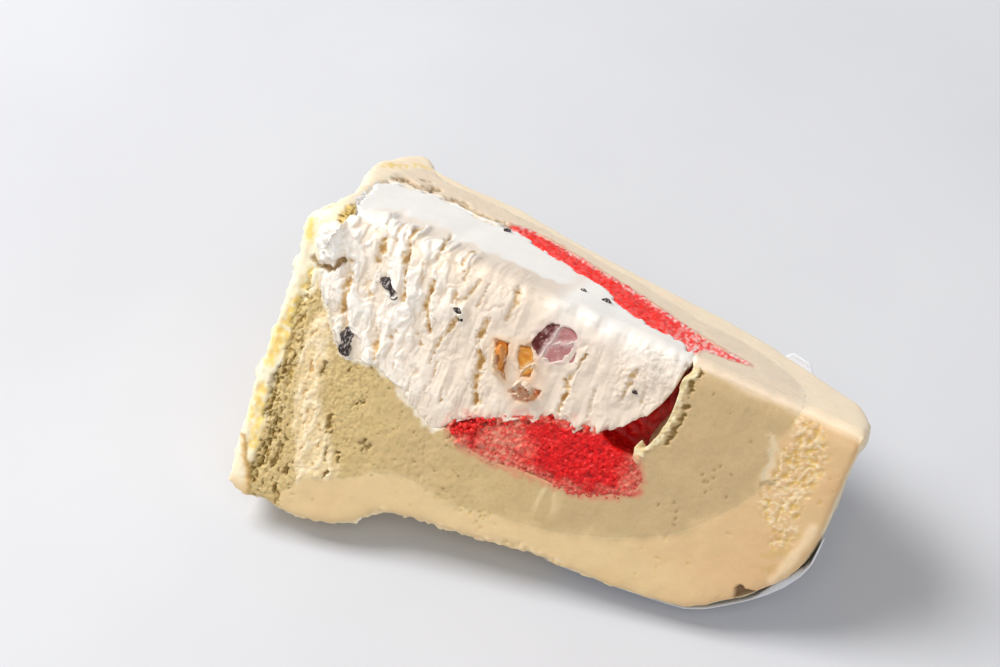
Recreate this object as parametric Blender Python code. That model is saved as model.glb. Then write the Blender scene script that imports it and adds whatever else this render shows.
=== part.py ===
"""A quarter slice of a domed ice-cream cassata, lying on its curved outer side.

The whole dome is turned layer by layer about its own axis, and a quarter is then cut
out of it. Sections are written as (height along the dome's axis from the flat base
towards the crown, radius) in millimetres. Angle 0 is the plane of the front cut face
and 90 degrees the plane of the upper cut face. The finished slice is parented to an
empty that lays it down, so that it rests on +Z = 0.
"""
import math

import bmesh
import bpy
from mathutils import Matrix, Vector, noise

MM = 0.001

# ---- Driving dimensions -------------------------------------------------------------
TURN_STEP = math.radians(6.0)       # angle between two turned sections
SPAN_STEPS = 2                      # points made on each span between two stations
LAYER_GAP = 0.34 * MM               # clear space between two layers
EDGE_RADIUS = 2.5 * MM              # rounding of the edge where the two cuts meet
EDGE_ARCS = 5                       # flats that make up that rounding
CUT_REACH = 95 * MM                 # how far the wedge of the cuts reaches from the axis
CUT_HEIGHTS = (-20 * MM, 130 * MM)  # heights between which the plain cuts are made
TORN_HEIGHTS = (-8 * MM, 84 * MM)   # the same for the torn cut of the filling
TORN_REACH = 46 * MM                # how far down the front the filling is torn
WELD_DISTANCE = 0.03 * MM           # slivers of a cut that are smaller are closed
MITRE_LIMIT = 0.45                  # keeps sharp corners of a shifted outline short
SHARP_ANGLE = math.radians(35)      # sharper edges than this are shaded as edges

BLEND_START = math.radians(35.0)    # up to here the dome has the front section
BLEND_END = math.radians(88.0)      # from here it has the upper section

SKIN_LUMP = 0.45 * MM               # height of the lumps on the outer skin
RIM_LUMP = 0.8 * MM                 # height of the lumps on the flat base
LUMP_SIZE = 7.5 * MM
BASE_HEIGHT = 2 * MM                # below this height the skin is the flat base
AXIS_CALM = 6 * MM                  # the lumps fade out this near to the axis

TEAR_DEPTH = 0.8 * MM               # depth of the small folds torn into the filling
TEAR_PITCH = 3.4 * MM               # distance from fold to fold along the axis
TEAR_LENGTH = 11.0 * MM             # length of a fold, away from the edge
TEAR_LEAN = 0.2                     # how far a fold leans to the crown on its way down
TEAR_SWAY = 1.1 * MM                # how far a fold sways from side to side
TEAR_SWAY_SIZE = 9 * MM             # distance over which it sways
TEAR_CRUMB = 2.6 * MM               # size of the crumbs between the folds
TEAR_FADE_IN = 4 * MM               # the folds grow over this distance below the edge
TEAR_CELL = 1.55 * MM               # size of the mesh cells on the torn face

CAVITY_DEPTH = 9.0 * MM             # the sponge has pulled back this far from the cut
CAVITY_OPENING = 3.0 * MM           # how far the cavity's shape reaches out of the cut
FRUIT_UNEVENNESS = 0.16             # share of its size by which a fruit is uneven
CHIP_UNEVENNESS = 0.3
CHIP_HALVES = (1.0, 0.6, 0.75)      # a chip's proportions: long, wide, deep
CHIP_DEPTH = 0.1                    # depth of its middle under the cut, in millimetres

PAPER_THICKNESS = 0.35 * MM
PAPER_CLEARANCE = 0.12 * MM         # between paper and skin, beyond the gap of the layers
PAPER_BULGE = 1.7 * MM              # how far the paper stands off at the crown
PAPER_BULGE_START = 0.35            # share of its width from which it stands off
PAPER_BULGE_FADE = 0.6              # share of the bulge that is lost towards the back
PAPER_SIDE = 45 * MM                # beyond this height the skin lies on the paper
PAPER_FRONT_ANGLE = math.radians(3.0)
PAPER_BACK_ANGLE = math.radians(87.0)
PAPER_TAB_ANGLE = math.radians(92.5)
PAPER_TAB_START = 0.5               # a corner sticks out between these shares of its width
PAPER_TAB_END = 0.75
PAPER_STATIONS = (15.2, 21.6)       # skin stations at its two edges, at the front cut
PAPER_NARROWING = (1.4, -1.2)       # stations by which these move towards the back
PAPER_ROWS = 18
PAPER_COLUMNS = 14

# How the slice lies: the axis sinks towards the crown, and one meridian faces down.
AXIS_DROP = math.radians(10.93)
CONTACT_ANGLE = math.radians(30.6)
HEADING = math.radians(-23.08)
AXIS_HEIGHT = 61.9 * MM             # base centre of the dome above the ground

# ---- Sections, (height, radius) in millimetres ---------------------------------------
# Outer skin, from the middle of the base, round its rim and on to the crown.
SKIN_FRONT = [
    (-0.8, 0), (-3.6, 6.0), (-3.2, 22), (-2.8, 40), (-1.8, 56), (0.2, 62.1), (3.6, 63.6),
    (6.8, 61.9), (10.2, 63.1), (17, 62.4), (25, 59.6), (28.8, 55.4), (34.2, 53.4),
    (43, 52.2), (52, 51), (61, 49.3), (73, 48.8), (85, 47.6), (92, 46.2), (98.5, 42),
    (105, 36), (109.4, 29.2), (110.7, 20), (110.2, 9), (110.8, 0),
]
SKIN_UPPER = [
    (-0.8, 0), (-1.6, 10), (-1.6, 22), (-4.6, 36), (-5.2, 50), (-3.6, 62), (-1.1, 67.6),
    (2.6, 64), (5.4, 57.8), (12, 57), (19, 57), (26.5, 56.3), (34, 52.8),
    (43, 48.6), (50.5, 46.2), (58, 45), (65, 42.3), (75, 40.6), (84, 37), (92, 31.6),
    (98, 27.5), (104.5, 22.6), (108, 19.5), (110.3, 11), (110.8, 0),
]
# Inner side of the vanilla cream. Its first three stations lie on the filling.
CREAM_FRONT = [
    (4.4, 0), (2.4, 6), (1.1, 12.3), (0.5, 22), (0.6, 34), (1.8, 48), (3.6, 59),
    (6.5, 60.6), (10.5, 58), (14, 54), (21, 50.8), (31, 45.2), (42.7, 46.6), (50, 44.9),
    (65.6, 42.2), (79.3, 36.3), (86, 31.8), (92, 24.8), (96.2, 18), (95.6, 10), (97.8, 0),
]
CREAM_UPPER = [
    (4.4, 0), (1.2, 10), (0.2, 27), (0.3, 33), (0.3, 38), (0.6, 46), (2.4, 54),
    (5.2, 54.4), (8, 51.2), (14, 50.4), (22, 49.9), (31, 47.8), (38, 45.6), (51.6, 39.9),
    (61.6, 34.9), (71.3, 30), (80.3, 28), (87.6, 23.1), (93.8, 16.7), (97, 9.5), (97.8, 0),
]
# Outer side of the white filling, from the base to its tip near the crown.
FILLING_FRONT = [
    (4.4, 0), (2.4, 6), (1.1, 12.3), (4.6, 18.2), (8.4, 23.8), (12.9, 28.2), (19.5, 26.6),
    (26, 30.2), (33.6, 34.3), (36.9, 31), (41.8, 28), (47.5, 25.4), (54, 22.6),
    (62.5, 21), (68.4, 17), (72.8, 12), (74.7, 5.5), (75.1, 0),
]
FILLING_UPPER = [
    (4.4, 0), (1.2, 10), (0.2, 27), (2.6, 34.2), (6.1, 35.7), (11, 38.4), (16.1, 36.9),
    (21.1, 35.4), (25.3, 36.6), (28.5, 37.6), (35.1, 33.8), (42.9, 29.4), (50.7, 24.3),
    (58, 16.2), (65.5, 10.6), (71.5, 9.3), (74.8, 5), (75.1, 0),
]
# Outer side of the red sponge, towards the pistachio.
SPONGE_FRONT = [
    (36.6, 33), (39.2, 34.4), (46, 35.5), (56, 34.4), (64, 34.1), (70, 32),
    (75.4, 28.4), (74.6, 24.6), (73.5, 21.6), (75.2, 17), (76.1, 11.5), (75.7, 6),
]
SPONGE_UPPER = [
    (27, 39.8), (31, 42), (38.1, 39.9), (48.3, 34.8), (58.4, 29.1), (68.5, 22.2),
    (78.1, 16.4), (84, 14.8), (84.3, 12.4), (80.5, 10.8), (77, 10.2), (75.3, 8.5),
]
PISTACHIO_TIP = (75.7, 0)           # where the pistachio closes over the filling's tip
RIM_STATION = 2                     # filling, cream and pistachio meet here
SPONGE_START = 9                    # the sponge lies on the filling from this station
SPONGE_END = 16                     # to this one
# The opening beside the filling, (height, distance from the upper cut) on the front.
CAVITY_OUTLINE = [
    (63.6, 21), (67.4, 22.2), (71.5, 22.6), (75, 22.8), (78, 18), (78, 2.5), (73, 2.5),
    (68, 12), (60, 17),
]

# ---- Pieces in the filling -----------------------------------------------------------
# Centre on the front face (height, distance from the upper cut), depth under the face,
# half sizes along height, distance and depth, all in millimetres, and a turn in degrees.
FRUIT = {
    "candied_cherry": ((50.4, 8.4), 2.2, (4.6, 3.9, 3.4), 20),
    "candied_peel_large": ((45.4, 13.9), 1.3, (2.5, 2.6, 2.0), 40),
    "candied_peel_small": ((40.9, 15.2), 0.9, (1.1, 3.1, 1.5), -8),
    "candied_peel_lower": ((47.9, 18.9), 1.1, (2.9, 1.5, 1.6), 25),
}
FRUIT_ROUNDNESS = {"candied_cherry": 3}     # subdivisions, 2 for all other fruit
# Chocolate chips: (height, distance, half size, turn) on the front face.
FRONT_CHIPS = [
    (16.7, 11.4, 1.7, 20), (11.9, 25.0, 1.6, 70), (30.2, 9.7, 1.0, 10), (67.6, 10.4, 0.8, 0),
    (13.2, 23.2, 1.1, 35),
]
# The same on the upper face, where the second value is the distance from the front cut.
UPPER_CHIPS = [(54.5, 13.3, 1.0, 30), (49.4, 14.2, 0.8, 0), (27.7, 33.4, 0.9, 50)]

# Deep furrows torn into the front face, in millimetres: (height, distance) of both ends,
# half width and depth.
FURROWS = [
    ((6.7, 9.9), (8.2, 17.5), 2.1, 1.6), ((11.0, 2.9), (11.9, 7.6), 1.6, 1.2),
    ((16.6, 1.9), (19.5, 12.4), 1.3, 1.3), ((23.2, 4.7), (26.1, 15.8), 1.3, 1.2),
    ((31.1, 9.7), (28.0, 19.7), 1.3, 1.3), ((35.4, 8.4), (40.7, 26.5), 1.5, 1.6),
    ((56.0, 7.7), (56.3, 19.8), 1.5, 1.5), ((64.2, 5.5), (65.9, 12.8), 1.3, 1.2),
    ((17.1, 18.1), (18.0, 25.1), 1.4, 1.2), ((32.6, 19.4), (33.4, 26.6), 1.2, 1.0),
]

COLORS = {
    "vanilla_cream": ((0.74, 0.57, 0.33), 0.48),
    "pistachio_cream": ((0.52, 0.42, 0.21), 0.55),
    "red_sponge": ((0.66, 0.04, 0.05), 0.70),
    "white_filling": ((0.82, 0.73, 0.58), 0.50),
    "candied_cherry": ((0.42, 0.13, 0.11), 0.30),
    "candied_peel": ((0.72, 0.36, 0.10), 0.30),
    "white_paper": ((0.80, 0.80, 0.82), 0.65),
}


# ---- Sections ------------------------------------------------------------------------
def spline(stations):
    """Points of a smooth curve through the stations, SPAN_STEPS to a span."""
    ends = [stations[0]] + stations + [stations[-1]]
    points = []
    for before, start, end, after in zip(ends, ends[1:], ends[2:], ends[3:]):
        for step in range(SPAN_STEPS):
            t = step / SPAN_STEPS
            points.append(tuple(
                0.5 * (2 * b + (c - a) * t + (2 * a - 5 * b + 4 * c - d) * t * t
                       + (3 * b - a - 3 * c + d) * t ** 3)
                for a, b, c, d in zip(before, start, end, after)))
    points.append(stations[-1])
    return [Vector((height, max(radius, 0.0))) * MM for height, radius in points]


def span(points, first, last):
    """The part of a spline between two of its stations."""
    return points[first * SPAN_STEPS:last * SPAN_STEPS + 1]


def shift_outline(points, distance, closed):
    """Move an outline to its left by a distance; points on the axis stay on it."""
    count = len(points)
    moved = []
    for index, point in enumerate(points):
        before = points[index - 1] if closed or index else None
        after = points[(index + 1) % count] if closed or index < count - 1 else None
        sides = []
        if before is not None:
            sides.append((point - before).normalized())
        if after is not None:
            sides.append((after - point).normalized())
        normals = [Vector((-side.y, side.x)) for side in sides]
        middle = sum(normals, Vector((0.0, 0.0)))
        middle = middle.normalized() if middle.length > 0.2 else normals[0]
        stretch = 1.0 / max(middle.dot(normals[0]), MITRE_LIMIT)
        target = point + middle * distance * stretch
        if point.y == 0.0:
            target = Vector((point.x + math.copysign(distance, middle.x * distance), 0.0))
        moved.append(Vector((target.x, max(target.y, 0.0))))
    return moved


def filling_outline(filling):
    """Closed from axis to axis, held back by half the gap."""
    return shift_outline(filling, -LAYER_GAP / 2, closed=False)


def sponge_outline(filling, sponge):
    """A ring: out along the pistachio, back along the filling."""
    inner = span(filling, SPONGE_START, SPONGE_END)
    return shift_outline(sponge + inner[::-1], -LAYER_GAP / 2, closed=True)


def pistachio_outline(filling, sponge, cream):
    """From its tip, back along the sponge and filling, round the rim and to the crown."""
    inner = span(filling, RIM_STATION, SPONGE_START - 1)[2:]
    outer = span(cream, RIM_STATION, len(CREAM_FRONT) - 1)[2:]
    tip = Vector(PISTACHIO_TIP) * MM
    outline = [tip] + sponge[::-1] + inner[::-1] + outer
    return shift_outline(outline, -LAYER_GAP / 2, closed=False)


def section_pair(maker, *curves):
    """An outline on the front cut and the same outline on the upper cut."""
    fronts = [spline(front) for front, _ in curves]
    uppers = [spline(upper) for _, upper in curves]
    return maker(*fronts), maker(*uppers)


def blend_weight(angle):
    """How much of the upper section the dome has at an angle round its axis."""
    folded = math.asin(min(abs(math.sin(angle)), 1.0))
    t = (folded - BLEND_START) / (BLEND_END - BLEND_START)
    t = min(max(t, 0.0), 1.0)
    return t * t * (3 - 2 * t)


def place(height, radius, angle):
    """A point of the dome: the front cut is the XY plane, the upper cut the XZ plane."""
    return Vector((height, radius * math.cos(angle), radius * math.sin(angle)))


# ---- Relief --------------------------------------------------------------------------
def lump(point):
    """A soft lump on the skin, stronger on the flat base than on the sides."""
    strength = RIM_LUMP if point.x < BASE_HEIGHT else SKIN_LUMP
    radius = math.hypot(point.y, point.z)
    near_axis = min(radius / AXIS_CALM, 1.0)
    outward = Vector((-1.0, 0.0, 0.0))
    if point.x > BASE_HEIGHT:
        outward = Vector((0.0, point.y, point.z)).normalized()
    return point + outward * strength * near_axis * noise.noise(point / LUMP_SIZE)


def furrow_depth(height, distance):
    """Depth of the deep furrows at a spot of the front face."""
    spot = Vector((height, distance)) / MM
    depth = 0.0
    for start, end, half_width, deep in FURROWS:
        start, end = Vector(start), Vector(end)
        run = end - start
        share = min(max((spot - start).dot(run) / run.dot(run), 0.0), 1.0)
        away = (spot - start - run * share).length / half_width
        depth = max(depth, deep * math.exp(-away * away))
    return depth * MM


def tear(height, distance):
    """Depth of the torn face of the filling: folds that run away from the edge."""
    lean = height - TEAR_LEAN * distance
    sway = TEAR_SWAY * noise.noise(Vector((height, distance, 0.0)) / TEAR_SWAY_SIZE)
    across = (lean + sway) / TEAR_PITCH
    along = distance / TEAR_LENGTH
    ridges = 1.0 - abs(noise.noise(Vector((across, along, 3.7)))) * 2.6
    crumbs = noise.noise(Vector((height, distance, 5 * MM)) / TEAR_CRUMB)
    below_edge = min(max((distance - EDGE_RADIUS) / TEAR_FADE_IN, 0.0), 1.0)
    folds = TEAR_DEPTH * below_edge * (0.45 * crumbs - 0.75 * ridges + 0.25)
    return folds + furrow_depth(height, distance)


def ground_direction():
    """The way up, seen from the dome's own axes."""
    across = math.cos(AXIS_DROP)
    return Vector((-math.sin(AXIS_DROP), -across * math.cos(CONTACT_ANGLE),
                   -across * math.sin(CONTACT_ANGLE)))


def press_flat(point, lowest):
    """Flatten what would sink below a level above the ground."""
    up = ground_direction()
    height = point.dot(up) + AXIS_HEIGHT
    return point + up * (lowest - height) if height < lowest else point


def skin_level(point):
    """The skin meets the ground near the base, and lies on the paper at the crown."""
    paper_stack = PAPER_THICKNESS + LAYER_GAP
    return paper_stack if point.x > PAPER_SIDE else 0.0


# ---- Solids --------------------------------------------------------------------------
def new_object(name, mesh):
    """Wrap a mesh in a linked object."""
    piece = bpy.data.objects.new(name, mesh)
    bpy.context.collection.objects.link(piece)
    return piece


def object_from_bmesh(name, work):
    """Close, orient and triangulate a bmesh, and make an object of it."""
    bmesh.ops.recalc_face_normals(work, faces=work.faces)
    bmesh.ops.triangulate(work, faces=work.faces)
    mesh = bpy.data.meshes.new(name)
    work.to_mesh(mesh)
    work.free()
    return new_object(name, mesh)


def bridge_pair(work, first, second, after_second, after_first):
    """One face between two neighbouring rows; vertices that they share count once."""
    corners = list(dict.fromkeys([first, second, after_second, after_first]))
    if len(corners) > 2:
        work.faces.new(corners)


def bridge_rings(work, ring, following):
    """Faces between two closed rings of vertices."""
    for here in range(len(ring)):
        after = (here + 1) % len(ring)
        bridge_pair(work, ring[here], ring[after], following[after], following[here])


def bridge_rows(work, row, following):
    """Faces between two open rows of vertices."""
    for here in range(len(row) - 1):
        bridge_pair(work, row[here], row[here + 1], following[here + 1], following[here])


def turned_solid(name, outlines, reshape=None):
    """Turn a pair of outlines right round the axis, blended from cut to cut."""
    front, upper = outlines
    work = bmesh.new()
    poles = {}
    rings = []
    turns = round(math.tau / TURN_STEP)
    for turn in range(turns):
        angle = (turn + 0.5) * TURN_STEP
        weight = blend_weight(angle)
        ring = []
        for index, (low, high) in enumerate(zip(front, upper)):
            height, radius = low.lerp(high, weight)
            if radius == 0.0 and index in poles:
                ring.append(poles[index])
                continue
            point = place(height, radius, angle)
            vertex = work.verts.new(reshape(point) if reshape else point)
            if radius == 0.0:
                poles[index] = vertex
            ring.append(vertex)
        rings.append(ring)
    bridge = bridge_rows if poles else bridge_rings
    for ring, following in zip(rings, rings[1:] + rings[:1]):
        bridge(work, ring, following)
    return object_from_bmesh(name, work)


def knife_path(relief_steps):
    """Corners of the wedge across the axis, from the front cut round to the back."""
    path = [(CUT_REACH, 0.0)]
    for step in range(relief_steps, -1, -1):
        path.append((EDGE_RADIUS + step * TEAR_CELL, 0.0))
    for step in range(1, EDGE_ARCS):
        turn = math.pi / 2 * step / EDGE_ARCS
        path.append((EDGE_RADIUS * (1 - math.sin(turn)), EDGE_RADIUS * (1 - math.cos(turn))))
    path += [(0.0, EDGE_RADIUS), (0.0, CUT_REACH), (CUT_REACH, CUT_REACH)]
    return path


def knife_solid(name, low, high, relief=None):
    """The quarter of space that the slice is cut to, between two heights."""
    relief_steps = round(TORN_REACH / TEAR_CELL) if relief else 0
    stations = round((high - low) / TEAR_CELL) if relief else 1
    path = knife_path(relief_steps)
    work = bmesh.new()
    rings = []
    for station in range(stations + 1):
        height = low + (high - low) * station / stations
        ring = []
        for across, depth in path:
            on_face = depth == 0.0 and relief and across < CUT_REACH
            drop = relief(height, across) if on_face else 0.0
            ring.append(work.verts.new((height, across, depth + drop)))
        rings.append(ring)
    for ring, following in zip(rings, rings[1:]):
        bridge_rings(work, ring, following)
    work.faces.new(rings[0])
    work.faces.new(rings[-1])
    return hide_cutter(object_from_bmesh(name, work))


def hide_cutter(piece):
    """Hide a shape that only takes material away."""
    piece.hide_render = True
    piece.display_type = "WIRE"
    return piece


def combine(piece, other, operation):
    """Add a Boolean with one other object and apply it."""
    modifier = piece.modifiers.new(operation.lower(), "BOOLEAN")
    modifier.operation = operation
    modifier.solver = "EXACT"
    modifier.object = other
    apply_modifiers(piece)


def combine_collection(piece, collection):
    """Fuse all objects of a collection to a piece, then remove them."""
    modifier = piece.modifiers.new("union", "BOOLEAN")
    modifier.operation = "UNION"
    modifier.solver = "EXACT"
    modifier.operand_type = "COLLECTION"
    modifier.collection = collection
    apply_modifiers(piece)
    for grain in list(collection.objects):
        bpy.data.objects.remove(grain)
    bpy.data.collections.remove(collection)


def apply_modifiers(piece):
    """Replace a piece's mesh by its evaluated one, without slivers from the cut."""
    bpy.context.view_layer.update()
    evaluated = piece.evaluated_get(bpy.context.evaluated_depsgraph_get())
    mesh = bpy.data.meshes.new_from_object(evaluated)
    piece.modifiers.clear()
    piece.data = mesh
    work = bmesh.new()
    work.from_mesh(mesh)
    bmesh.ops.remove_doubles(work, verts=work.verts, dist=WELD_DISTANCE)
    bmesh.ops.dissolve_degenerate(work, edges=work.edges, dist=WELD_DISTANCE)
    bmesh.ops.triangulate(work, faces=work.faces)
    work.to_mesh(mesh)
    work.free()


def finish(piece, color_name, rest):
    """Material, shading and parent of a finished piece."""
    color, roughness = COLORS[color_name]
    material = bpy.data.materials.get(color_name)
    if material is None:
        material = bpy.data.materials.new(color_name)
        material.use_nodes = True
        shader = material.node_tree.nodes["Principled BSDF"]
        shader.inputs["Base Color"].default_value = (*color, 1.0)
        shader.inputs["Roughness"].default_value = roughness
        shader.inputs["Metallic"].default_value = 0.0
    piece.data.materials.clear()
    piece.data.materials.append(material)
    piece.data.shade_smooth()
    piece.data.set_sharp_from_angle(angle=SHARP_ANGLE)
    piece.parent = rest
    return piece


# ---- Layers --------------------------------------------------------------------------
def make_cream(knife):
    """Vanilla cream: the outer wall, with the thin closing layer on the base."""
    cream = turned_solid(
        "vanilla_cream", (spline(SKIN_FRONT), spline(SKIN_UPPER)),
        lambda point: press_flat(lump(point), skin_level(point)))
    hollow = hide_cutter(turned_solid(
        "cream_hollow", section_pair(
            lambda cream_side: shift_outline(cream_side, LAYER_GAP / 2, closed=False),
            (CREAM_FRONT, CREAM_UPPER))))
    combine(cream, hollow, "DIFFERENCE")
    combine(cream, knife, "INTERSECT")
    bpy.data.objects.remove(hollow)
    return cream


def make_pistachio(knife):
    """Pistachio ice cream between the cream and the sponge and filling."""
    outlines = section_pair(
        pistachio_outline, (FILLING_FRONT, FILLING_UPPER), (SPONGE_FRONT, SPONGE_UPPER),
        (CREAM_FRONT, CREAM_UPPER))
    pistachio = turned_solid("pistachio_cream", outlines)
    combine(pistachio, knife, "INTERSECT")
    return pistachio


def make_sponge(knife):
    """Red sponge round the filling, pulled back from the front cut near the crown."""
    outlines = section_pair(
        sponge_outline, (FILLING_FRONT, FILLING_UPPER), (SPONGE_FRONT, SPONGE_UPPER))
    sponge = turned_solid("red_sponge", outlines)
    combine(sponge, knife, "INTERSECT")
    work = bmesh.new()
    lower = [work.verts.new((x * MM, y * MM, -CAVITY_OPENING)) for x, y in CAVITY_OUTLINE]
    upper = [work.verts.new((x * MM, y * MM, CAVITY_DEPTH)) for x, y in CAVITY_OUTLINE]
    bridge_rings(work, lower, upper)
    work.faces.new(lower)
    work.faces.new(upper)
    cavity = hide_cutter(object_from_bmesh("cavity", work))
    combine(sponge, cavity, "DIFFERENCE")
    bpy.data.objects.remove(cavity)
    return sponge


def fruit_solid(fruit, name, grow):
    """An uneven rounded piece near the front face; grow widens it for its pocket."""
    (height, distance), depth, half_sizes, turn = FRUIT[fruit]
    work = bmesh.new()
    subdivisions = FRUIT_ROUNDNESS.get(fruit, 2)
    bmesh.ops.create_icosphere(work, subdivisions=subdivisions, radius=1.0)
    lie = Matrix.Rotation(math.radians(turn), 3, "Z")
    seed = Vector((height, distance, depth))
    for vertex in work.verts:
        uneven = 1.0 + FRUIT_UNEVENNESS * noise.noise(vertex.co * 1.3 + seed)
        sized = Vector([unit * (half * MM * uneven + grow)
                        for unit, half in zip(vertex.co, half_sizes)])
        vertex.co = lie @ sized + Vector((height, distance, depth)) * MM
    return object_from_bmesh(name, work)


def chip_solid(index, height, distance, half, turn, on_upper):
    """A broken chip of chocolate that stands a little proud of a cut face."""
    work = bmesh.new()
    bmesh.ops.create_icosphere(work, subdivisions=1, radius=1.0)
    lie = Matrix.Rotation(math.radians(turn), 3, "Z")
    for vertex in work.verts:
        uneven = 1.0 + CHIP_UNEVENNESS * noise.noise(vertex.co * 1.7 + Vector((index, 0.5, 0.2)))
        sized = vertex.co * Vector(CHIP_HALVES) * uneven
        local = lie @ (sized * half * MM) + Vector((height, distance, CHIP_DEPTH)) * MM
        vertex.co = Vector((local.x, local.z, local.y)) if on_upper else local
    return object_from_bmesh(f"chip_{index}", work)


def make_filling(knife):
    """White filling with a torn front face, pockets for the fruit, and fused chips."""
    outlines = section_pair(filling_outline, (FILLING_FRONT, FILLING_UPPER))
    filling = turned_solid("white_filling", outlines)
    combine(filling, knife, "INTERSECT")
    for fruit in FRUIT:
        pocket = hide_cutter(fruit_solid(fruit, "pocket", LAYER_GAP))
        combine(filling, pocket, "DIFFERENCE")
        bpy.data.objects.remove(pocket)
    chips = bpy.data.collections.new("chips")
    bpy.context.scene.collection.children.link(chips)
    places = [(chip, False) for chip in FRONT_CHIPS] + [(chip, True) for chip in UPPER_CHIPS]
    for index, (chip, on_upper) in enumerate(places):
        grain = chip_solid(index, *chip, on_upper)
        bpy.context.collection.objects.unlink(grain)
        chips.objects.link(grain)
    combine_collection(filling, chips)
    return filling


# ---- Paper ---------------------------------------------------------------------------
def along_outline(points, share):
    """Place and left-hand normal at a share of the stations of an outline."""
    place_on = share * (len(points) - 1)
    index = min(int(place_on), len(points) - 2)
    start, end = points[index], points[index + 1]
    side = (end - start).normalized()
    return start.lerp(end, place_on - index), Vector((-side.y, side.x))


def paper_point(row, column, lift):
    """A point of the paper, lifted off the skin, at a row round and a column along."""
    turn = row / PAPER_ROWS
    along = column / PAPER_COLUMNS
    on_tab = PAPER_TAB_START < along < PAPER_TAB_END
    back = PAPER_TAB_ANGLE if on_tab else PAPER_BACK_ANGLE
    angle = PAPER_FRONT_ANGLE + (back - PAPER_FRONT_ANGLE) * turn
    weight = blend_weight(min(angle, math.pi / 2))
    stations = len(SKIN_FRONT) - 1
    first, last = (start + change * turn
                   for start, change in zip(PAPER_STATIONS, PAPER_NARROWING))
    share = (first + (last - first) * along) / stations
    low, low_side = along_outline(spline(SKIN_FRONT), share)
    high, high_side = along_outline(spline(SKIN_UPPER), share)
    spot = low.lerp(high, weight)
    side = low_side.lerp(high_side, weight).normalized()
    skin = lump(place(spot.x, spot.y, angle))
    hump = max(along - PAPER_BULGE_START, 0.0) / (1 - PAPER_BULGE_START)
    bulge = PAPER_BULGE * math.sin(math.pi * hump) * (1 - PAPER_BULGE_FADE * turn)
    away = place(side.x, side.y, angle)
    return skin + away * (LAYER_GAP + PAPER_CLEARANCE + bulge + lift)


def make_paper():
    """A strip of thin paper left on the skin round the crown's shoulder."""
    work = bmesh.new()
    sheets = []
    for lift, level in ((0.0, PAPER_THICKNESS), (PAPER_THICKNESS, 0.0)):
        rows = []
        for row in range(PAPER_ROWS + 1):
            points = [paper_point(row, column, lift) for column in range(PAPER_COLUMNS + 1)]
            rows.append([work.verts.new(press_flat(point, level)) for point in points])
        sheets.append(rows)
    for rows in sheets:
        for row, following in zip(rows, rows[1:]):
            bridge_rows(work, row, following)
    inner, outer = sheets
    bridge_rows(work, inner[0], outer[0])
    bridge_rows(work, inner[-1], outer[-1])
    bridge_rows(work, [row[0] for row in inner], [row[0] for row in outer])
    bridge_rows(work, [row[-1] for row in inner], [row[-1] for row in outer])
    return object_from_bmesh("paper_liner", work)


# ---- Lying down ----------------------------------------------------------------------
def make_rest():
    """The empty that carries the slice in the way it lies."""
    rest = bpy.data.objects.new("slice_at_rest", None)
    bpy.context.collection.objects.link(rest)
    contact_down = Matrix.Rotation(-math.pi / 2 - CONTACT_ANGLE, 4, "X")
    drop = Matrix.Rotation(AXIS_DROP, 4, "Y")
    heading = Matrix.Rotation(HEADING, 4, "Z")
    rest.matrix_world = heading @ drop @ contact_down
    return rest


def centre_on_origin(rest, pieces):
    """Put the origin under the middle of the slice's box, on the ground."""
    bpy.context.view_layer.update()
    corners = [piece.matrix_world @ vertex.co for piece in pieces
               for vertex in piece.data.vertices]
    low = [min(corner[axis] for corner in corners) for axis in range(3)]
    high = [max(corner[axis] for corner in corners) for axis in range(3)]
    rest.location = (-(low[0] + high[0]) / 2, -(low[1] + high[1]) / 2, -low[2])


def main():
    """Build every layer and piece of the slice."""
    for item in list(bpy.data.objects):
        bpy.data.objects.remove(item)
    rest = make_rest()
    knife = knife_solid("knife", *CUT_HEIGHTS)
    torn_knife = knife_solid("torn_knife", *TORN_HEIGHTS, tear)
    pieces = [
        finish(make_cream(knife), "vanilla_cream", rest),
        finish(make_pistachio(knife), "pistachio_cream", rest),
        finish(make_sponge(knife), "red_sponge", rest),
        finish(make_filling(torn_knife), "white_filling", rest),
        finish(make_paper(), "white_paper", rest),
    ]
    for fruit in FRUIT:
        color_name = fruit if fruit in COLORS else "candied_peel"
        pieces.append(finish(fruit_solid(fruit, fruit, 0.0), color_name, rest))
    bpy.data.objects.remove(knife)
    bpy.data.objects.remove(torn_knife)
    centre_on_origin(rest, pieces)


main()
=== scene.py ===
import math

import bmesh
import bpy
import numpy as np
from mathutils import Matrix, Vector
from mathutils.bvhtree import BVHTree
from mathutils.kdtree import KDTree


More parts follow.
